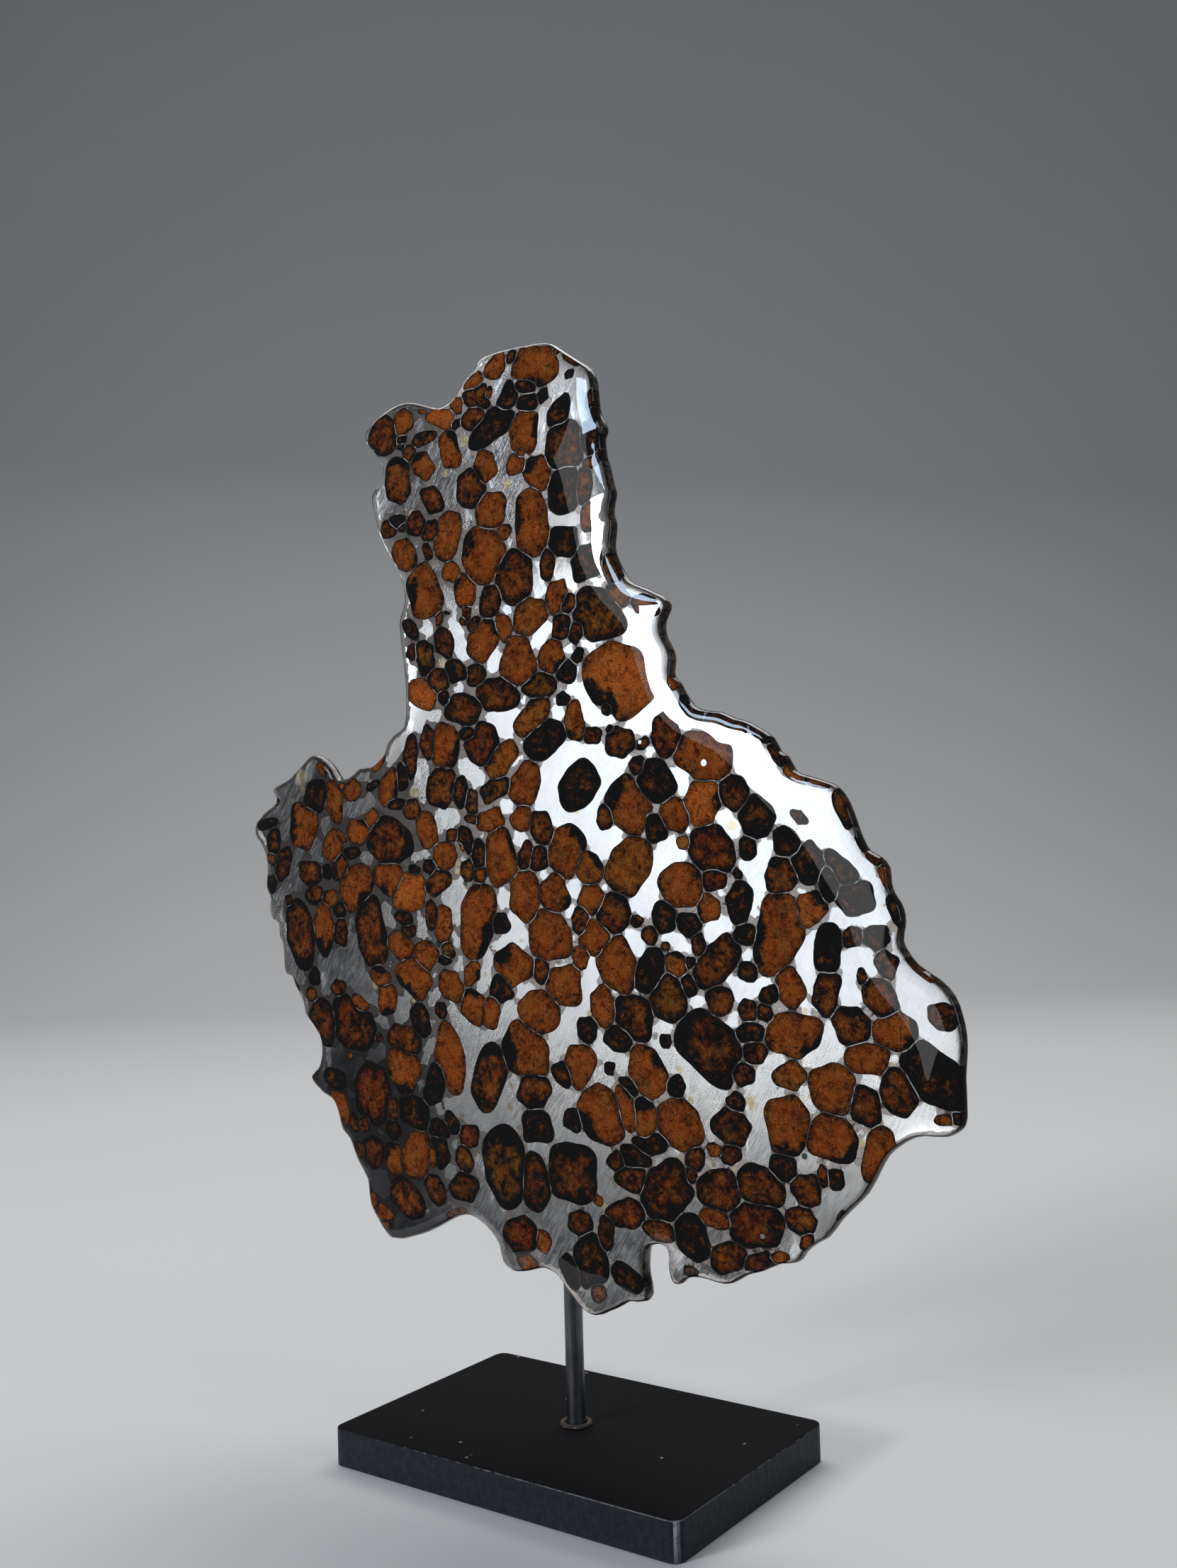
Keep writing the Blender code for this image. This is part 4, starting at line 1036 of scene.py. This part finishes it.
def olivine_material():
    """Amber to black crystal, mottled and cracked, with uneven black rims and painted tiny glints."""
    g = Graph("olivine")
    seed = g.times(g.value("seed"), SEED_SPREAD)
    broad = g.noise(3.4 * MM, detail=3.0, rough=0.55, warp=0.6, seed=seed)
    mottle = g.noise(1.1 * MM, detail=5.0, rough=0.65, warp=0.4, seed=seed)
    total = crystal_darkness(g, broad, mottle)
    dim = g.spread(total, 0.0, 0.70, 0.94, 0.19)
    dim = g.add("ShaderNodeCombineColor", (), Red=dim, Green=dim, Blue=dim).outputs[0]
    colour = g.blend(1.0, crystal_colour(g, seed, broad, mottle), dim, "MULTIPLY")
    colour = g.blend(g.spread(total, 0.50, 0.90, smooth=True), colour, CRYSTAL_BLACK)
    # painted highlights: tiny glints in the colour, fewer on the dark parts
    painted_glints = g.times(glints(g, 0.55 * MM, 0.55), g.spread(total, 0.25, 0.85, 0.8, 0.1))
    colour = g.blend(painted_glints, colour, PAINTED_CRYSTAL_GLINT)
    colour = g.blend(g.times(sawn_side(g), 0.6), colour, SAWN_CRYSTAL)
    g.shade(Base_Color=colour, Roughness=g.spread(mottle, 0.3, 0.7, 0.35, 0.55), Specular_IOR_Level=0.0,
            Normal=g.bump(mottle, 0.25, 0.1 * MM))
    return g.material


def dark_cracks(g, breaks):
    """A few fine dark cracks, broken up."""
    lines = g.cells(6.5 * MM, "DISTANCE_TO_EDGE", 3.2 * MM).outputs["Distance"]
    return g.times(g.spread(lines, 0.004, 0.018, 0.85, 0.0, smooth=True), g.spread(breaks, 0.42, 0.54))


def glints(g, size, rarity):
    """Tiny bright points in some of the cells of this size."""
    flecks = g.cells(size)
    chosen = g.add("ShaderNodeSeparateColor", (), Color=flecks.outputs["Color"]).outputs[0]
    point = g.spread(flecks.outputs["Distance"], 0.12, 0.20, 1.0, 0.0)
    return g.times(point, g.math("GREATER_THAN", chosen, rarity))


def sawn_side(g):
    """1 on the slab's rim wall, 0 on its polished faces."""
    normal = g.add("ShaderNodeNewGeometry").outputs["True Normal"]
    facing = g.add("ShaderNodeSeparateXYZ", (), Vector=normal).outputs["Y"]
    return g.spread(g.math("ABSOLUTE", facing), 0.5, 0.8, 1.0, 0.0)


def resin_material():
    """Clear resin, faintly warm."""
    g = Graph("clear_resin")
    ripple = g.noise(14 * MM, detail=1.0)
    g.shade(Base_Color=(0.985, 0.975, 0.955, 1.0), Roughness=0.0, IOR=1.5, Transmission_Weight=1.0,
            Normal=g.bump(ripple, 0.15, 0.2 * MM))
    return g.material


def rod_material():
    """Dark drawn steel."""
    g = Graph("rod_steel")
    drawn = g.noise(1.0, detail=3.0, place=g.stretched(0.0, (2600, 2600, 60)))
    patches = g.noise(7 * MM, detail=3.0)
    colour = g.blend(g.spread(patches, 0.3, 0.7), (0.10, 0.105, 0.115), (0.17, 0.175, 0.185))
    colour = g.blend(g.spread(drawn, 0.55, 0.75, 0.0, 0.5), colour, (0.26, 0.26, 0.27))
    g.shade(Base_Color=colour, Metallic=1.0, Roughness=g.spread(drawn, 0.3, 0.7, 0.30, 0.45),
            Normal=g.bump(drawn, 0.3, 0.03 * MM))
    return g.material


def disc_material():
    """Satin steel of the hidden saddle."""
    g = Graph("disc_steel")
    turned = g.noise(1.0, detail=3.0, place=g.stretched(0.0, (300, 300, 2600)))
    colour = g.blend(g.spread(turned, 0.3, 0.7), (0.34, 0.34, 0.35), (0.50, 0.50, 0.51))
    g.shade(Base_Color=colour, Metallic=1.0, Roughness=g.spread(turned, 0.3, 0.7, 0.32, 0.48))
    return g.material


# The plate's finish
WORN_AND_HIGHLIT_CORNER = (0.05, -0.033, 0.009)  # the corner whose edges carry the most wear and painted highlight, in metres
WEAR_AND_HIGHLIGHT_REACH = (8, 85)                 # mm from it over which the wear and the painted highlight fade
# The flat faces' paint is darker than the sides': partly the sides' rough-cut finish, partly painted shade
PAINT_AND_TOP_SHADE = ((0.003, 0.003, 0.0035), (0.006, 0.006, 0.007))
SAWN_PAINT = ((0.015, 0.017, 0.021), (0.027, 0.030, 0.037))
# pale bare steel, which also stands for a painted highlight on the edges
BARE_EDGE_AND_HIGHLIGHT = (0.60, 0.61, 0.65)
DUST = (0.30, 0.21, 0.16)


def worn_and_highlit_edges(g, towards, facing):
    """Where the plate's upper edge and its front right corner are pale in broken lines: wear and a painted
    highlight.
    """
    slope = g.times(g.spread(facing, 0.35, 0.55), g.spread(facing, 0.92, 0.80))
    to_corner = g.add("ShaderNodeVectorMath", {"operation": "DISTANCE"}, Vector=g.place)
    to_corner.inputs[1].default_value = WORN_AND_HIGHLIT_CORNER
    near, far = WEAR_AND_HIGHLIGHT_REACH
    fade = g.spread(to_corner.outputs["Value"], near * MM, far * MM, 0.10, -0.10)
    breaks = g.plus(g.noise(1.8 * MM, detail=4.0, rough=0.7), fade)
    # the bright stripe on the rounded front right corner is a painted highlight
    corner = g.times(g.spread(towards["X"], 0.50, 0.62), g.spread(towards["X"], 0.84, 0.72))
    corner = g.times(corner, g.spread(towards["Y"], -0.5, -0.6, 0.0, 0.6))
    worn_and_highlit = g.times(g.most(slope, corner), g.spread(breaks, 0.44, 0.56))
    height = g.add("ShaderNodeSeparateXYZ", (), Vector=g.place).outputs["Z"]
    return g.times(worn_and_highlit, g.spread(height, 0.0, 7 * MM, 0.2, 1.0))


def plate_material():
    """Black paint on rough-cut steel, worn and with a painted highlight along its upper edge, with a little
    dust.
    """
    g = Graph("plate_paint")
    normal = g.add("ShaderNodeNewGeometry").outputs["Normal"]
    towards = g.add("ShaderNodeSeparateXYZ", (), Vector=normal).outputs
    facing = g.math("ABSOLUTE", towards["Z"])
    side = g.spread(facing, 0.15, 0.6, 1.0, 0.0)
    sawn = g.noise(1.0, detail=4.0, rough=0.65, place=g.stretched(0.0, (700, 700, 520)))
    dents = g.noise(2.2 * MM, detail=4.0, rough=0.6, warp=0.8)
    peel = g.noise(1.1 * MM, detail=2.0)
    fine = g.noise(0.3 * MM, detail=3.0, rough=0.7)
    # flat faces darker than the sides, partly as painted shade
    colour = g.blend(side, g.blend(g.spread(fine, 0.3, 0.7), *PAINT_AND_TOP_SHADE),
                     g.blend(g.spread(sawn, 0.40, 0.70), *SAWN_PAINT))
    # wear and painted highlight along the upper edge and front right corner
    worn_and_highlit = worn_and_highlit_edges(g, towards, facing)
    colour = g.blend(worn_and_highlit, colour, BARE_EDGE_AND_HIGHLIGHT)
    dust = g.times(glints(g, 2.4 * MM, 0.96), g.spread(facing, 0.98, 1.0))
    colour = g.blend(dust, colour, DUST)
    rough = g.plus(g.spread(fine, 0.3, 0.7, 0.72, 0.84), g.times(side, -0.44))
    height = g.times(g.plus(g.times(sawn, 0.35), dents), side)
    height = g.plus(height, g.times(peel, 0.15))
    g.shade(Base_Color=colour, Roughness=rough, Metallic=g.times(worn_and_highlit, 0.3), Specular_IOR_Level=0.08,
            Normal=g.bump(height, 0.9, 0.3 * MM))
    return g.material


def bead_material():
    """A dark crusty bead with small pale and orange glints painted into its colour."""
    g = Graph("bead_glue")
    lumps = g.noise(0.4 * MM, detail=4.0, rough=0.75)
    colour = g.blend(g.spread(lumps, 0.42, 0.62), (0.008, 0.007, 0.006), (0.07, 0.036, 0.02))
    # painted highlights: pale and orange glints in the colour
    colour = g.blend(glints(g, 0.7 * MM, 0.72), colour, (0.70, 0.50, 0.36))
    g.shade(Base_Color=colour, Roughness=0.5, Normal=g.bump(lumps, 0.8, 0.4 * MM))
    return g.material


def dress_node(node, material):
    """Gives a CAD node its finish."""
    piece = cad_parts[node]
    piece.data.materials.clear()
    piece.data.materials.append(material)


# The stage: a pale floor that curves up into a pale backdrop behind the object
FLOOR_FRONT = 0.07
FLOOR_BACK = 1.1
FLOOR_FRONT_HALF_WIDTH = 0.14
FLOOR_WIDENING = 0.45
BACKDROP_RADIUS = 0.6
BACKDROP_HEIGHT = 2.4
BACKDROP_STEPS = 16
LIGHT_CENTRE_HEIGHT = 0.15         # metres up the slab, where the softboxes face


def build_stage():
    """A pale sheet under and behind the object. It ends where the gloss would mirror it to the camera."""
    profile = [(-FLOOR_FRONT, 0.0)]
    for step in range(BACKDROP_STEPS + 1):
        turn = math.pi / 2 * step / BACKDROP_STEPS
        away = FLOOR_BACK + BACKDROP_RADIUS * math.sin(turn)
        profile.append((away, BACKDROP_RADIUS * (1 - math.cos(turn))))
    profile.append((FLOOR_BACK + BACKDROP_RADIUS, BACKDROP_HEIGHT))
    vertices = []
    for away, height in profile:
        half_width = FLOOR_FRONT_HALF_WIDTH + FLOOR_WIDENING * (away + FLOOR_FRONT)
        vertices.append((-half_width, away, height))
        vertices.append((half_width, away, height))
    faces = [(2 * k, 2 * k + 1, 2 * k + 3, 2 * k + 2) for k in range(len(profile) - 1)]
    mesh = bpy.data.meshes.new("stage_floor")
    mesh.from_pydata(vertices, [], faces)
    mesh.shade_smooth()
    floor = bpy.data.objects.new("stage_floor", mesh)
    floor.rotation_euler.z = math.atan2(-CAMERA_FORWARD.x, CAMERA_FORWARD.y)
    bpy.context.scene.collection.objects.link(floor)
    g = Graph("stage_floor")
    paper = g.noise(0.3, detail=2.0)
    g.shade(Base_Color=g.blend(paper, (0.60, 0.60, 0.60), (0.64, 0.64, 0.64)), Roughness=0.8)
    mesh.materials.append(g.material)


def add_camera():
    """The camera that the photo was taken with, as worked out from the plate and the rod."""
    camera = bpy.data.objects.new("camera", bpy.data.cameras.new("camera"))
    camera.data.lens = CAMERA_LENS
    camera.data.sensor_width = CAMERA_SENSOR
    camera.data.clip_start = 0.01
    right = CAMERA_FORWARD.cross(CAMERA_UP).normalized()
    up = right.cross(CAMERA_FORWARD).normalized()
    turn = Matrix((right, up, -CAMERA_FORWARD.normalized())).transposed()
    camera.matrix_world = Matrix.Translation(CAMERA_PLACE) @ turn.to_4x4()
    bpy.context.scene.collection.objects.link(camera)
    bpy.context.scene.camera = camera


def add_softbox(name, bearing, height, distance, width, tall, radiance, colour=(1, 1, 1), lean=0.0):
    """A flat light that faces the slab. Bearing, left of its front, height and lean are in degrees."""
    centre = Vector((0, SLAB_FRONT, LIGHT_CENTRE_HEIGHT))
    turn = math.radians(bearing)
    lift = math.radians(height)
    away = Vector((-math.sin(turn) * math.cos(lift), -math.cos(turn) * math.cos(lift), math.sin(lift)))
    light = bpy.data.lights.new(name, "AREA")
    light.shape = "RECTANGLE"
    light.size = width
    light.size_y = tall
    light.energy = radiance * math.pi * width * tall
    light.color = colour
    lamp = bpy.data.objects.new(name, light)
    lamp.location = centre + away * distance
    facing = away.to_track_quat("Z", "Y").to_matrix() @ Matrix.Rotation(math.radians(lean), 3, "Z")
    lamp.rotation_euler = facing.to_euler()
    bpy.context.scene.collection.objects.link(lamp)


def light_stage():
    """A bright softbox in front with a cool one over it and dim ones behind, and soft light all round."""
    add_softbox("key", bearing=21.3, height=13.4, distance=1.2, width=0.24, tall=0.163, radiance=58.0)
    add_softbox("cool", bearing=19, height=24.5, distance=1.2, width=0.335, tall=0.147, radiance=16.0,
                colour=(0.60, 0.78, 1.0))
    add_softbox("veil", bearing=21.5, height=6, distance=1.3, width=0.213, tall=0.85, radiance=1.3, lean=32)
    add_softbox("side", bearing=-88, height=12, distance=1.0, width=0.25, tall=0.7, radiance=4.0,
                colour=(0.72, 0.85, 1.0))
    add_softbox("top", bearing=150, height=60, distance=1.3, width=1.6, tall=1.0, radiance=3.0)
    world = bpy.data.worlds.new("studio")
    world.use_nodes = True
    sky = world.node_tree.nodes["Background"]
    sky.inputs["Color"].default_value = (0.92, 0.96, 1.0, 1.0)
    sky.inputs["Strength"].default_value = 0.10
    bpy.context.scene.world = world
    bpy.context.scene.view_settings.view_transform = "Standard"


def main():
    slab_outline = outline_of("slice")
    coat_outline = outline_of("resin_front")
    raster = Raster(coat_outline)
    materials = {"metal": metal_material(), "olivine": olivine_material(), "resin": resin_material()}
    build_slab(raster, slab_outline, Crystals(CRYSTALS), materials)
    build_coat(raster, coat_outline, materials)
    dress_node("rod", rod_material())
    dress_node("mount_disc", disc_material())
    dress_node("base_plate", plate_material())
    dress_node("foot_bead", bead_material())
    build_stage()
    add_camera()
    light_stage()


main()
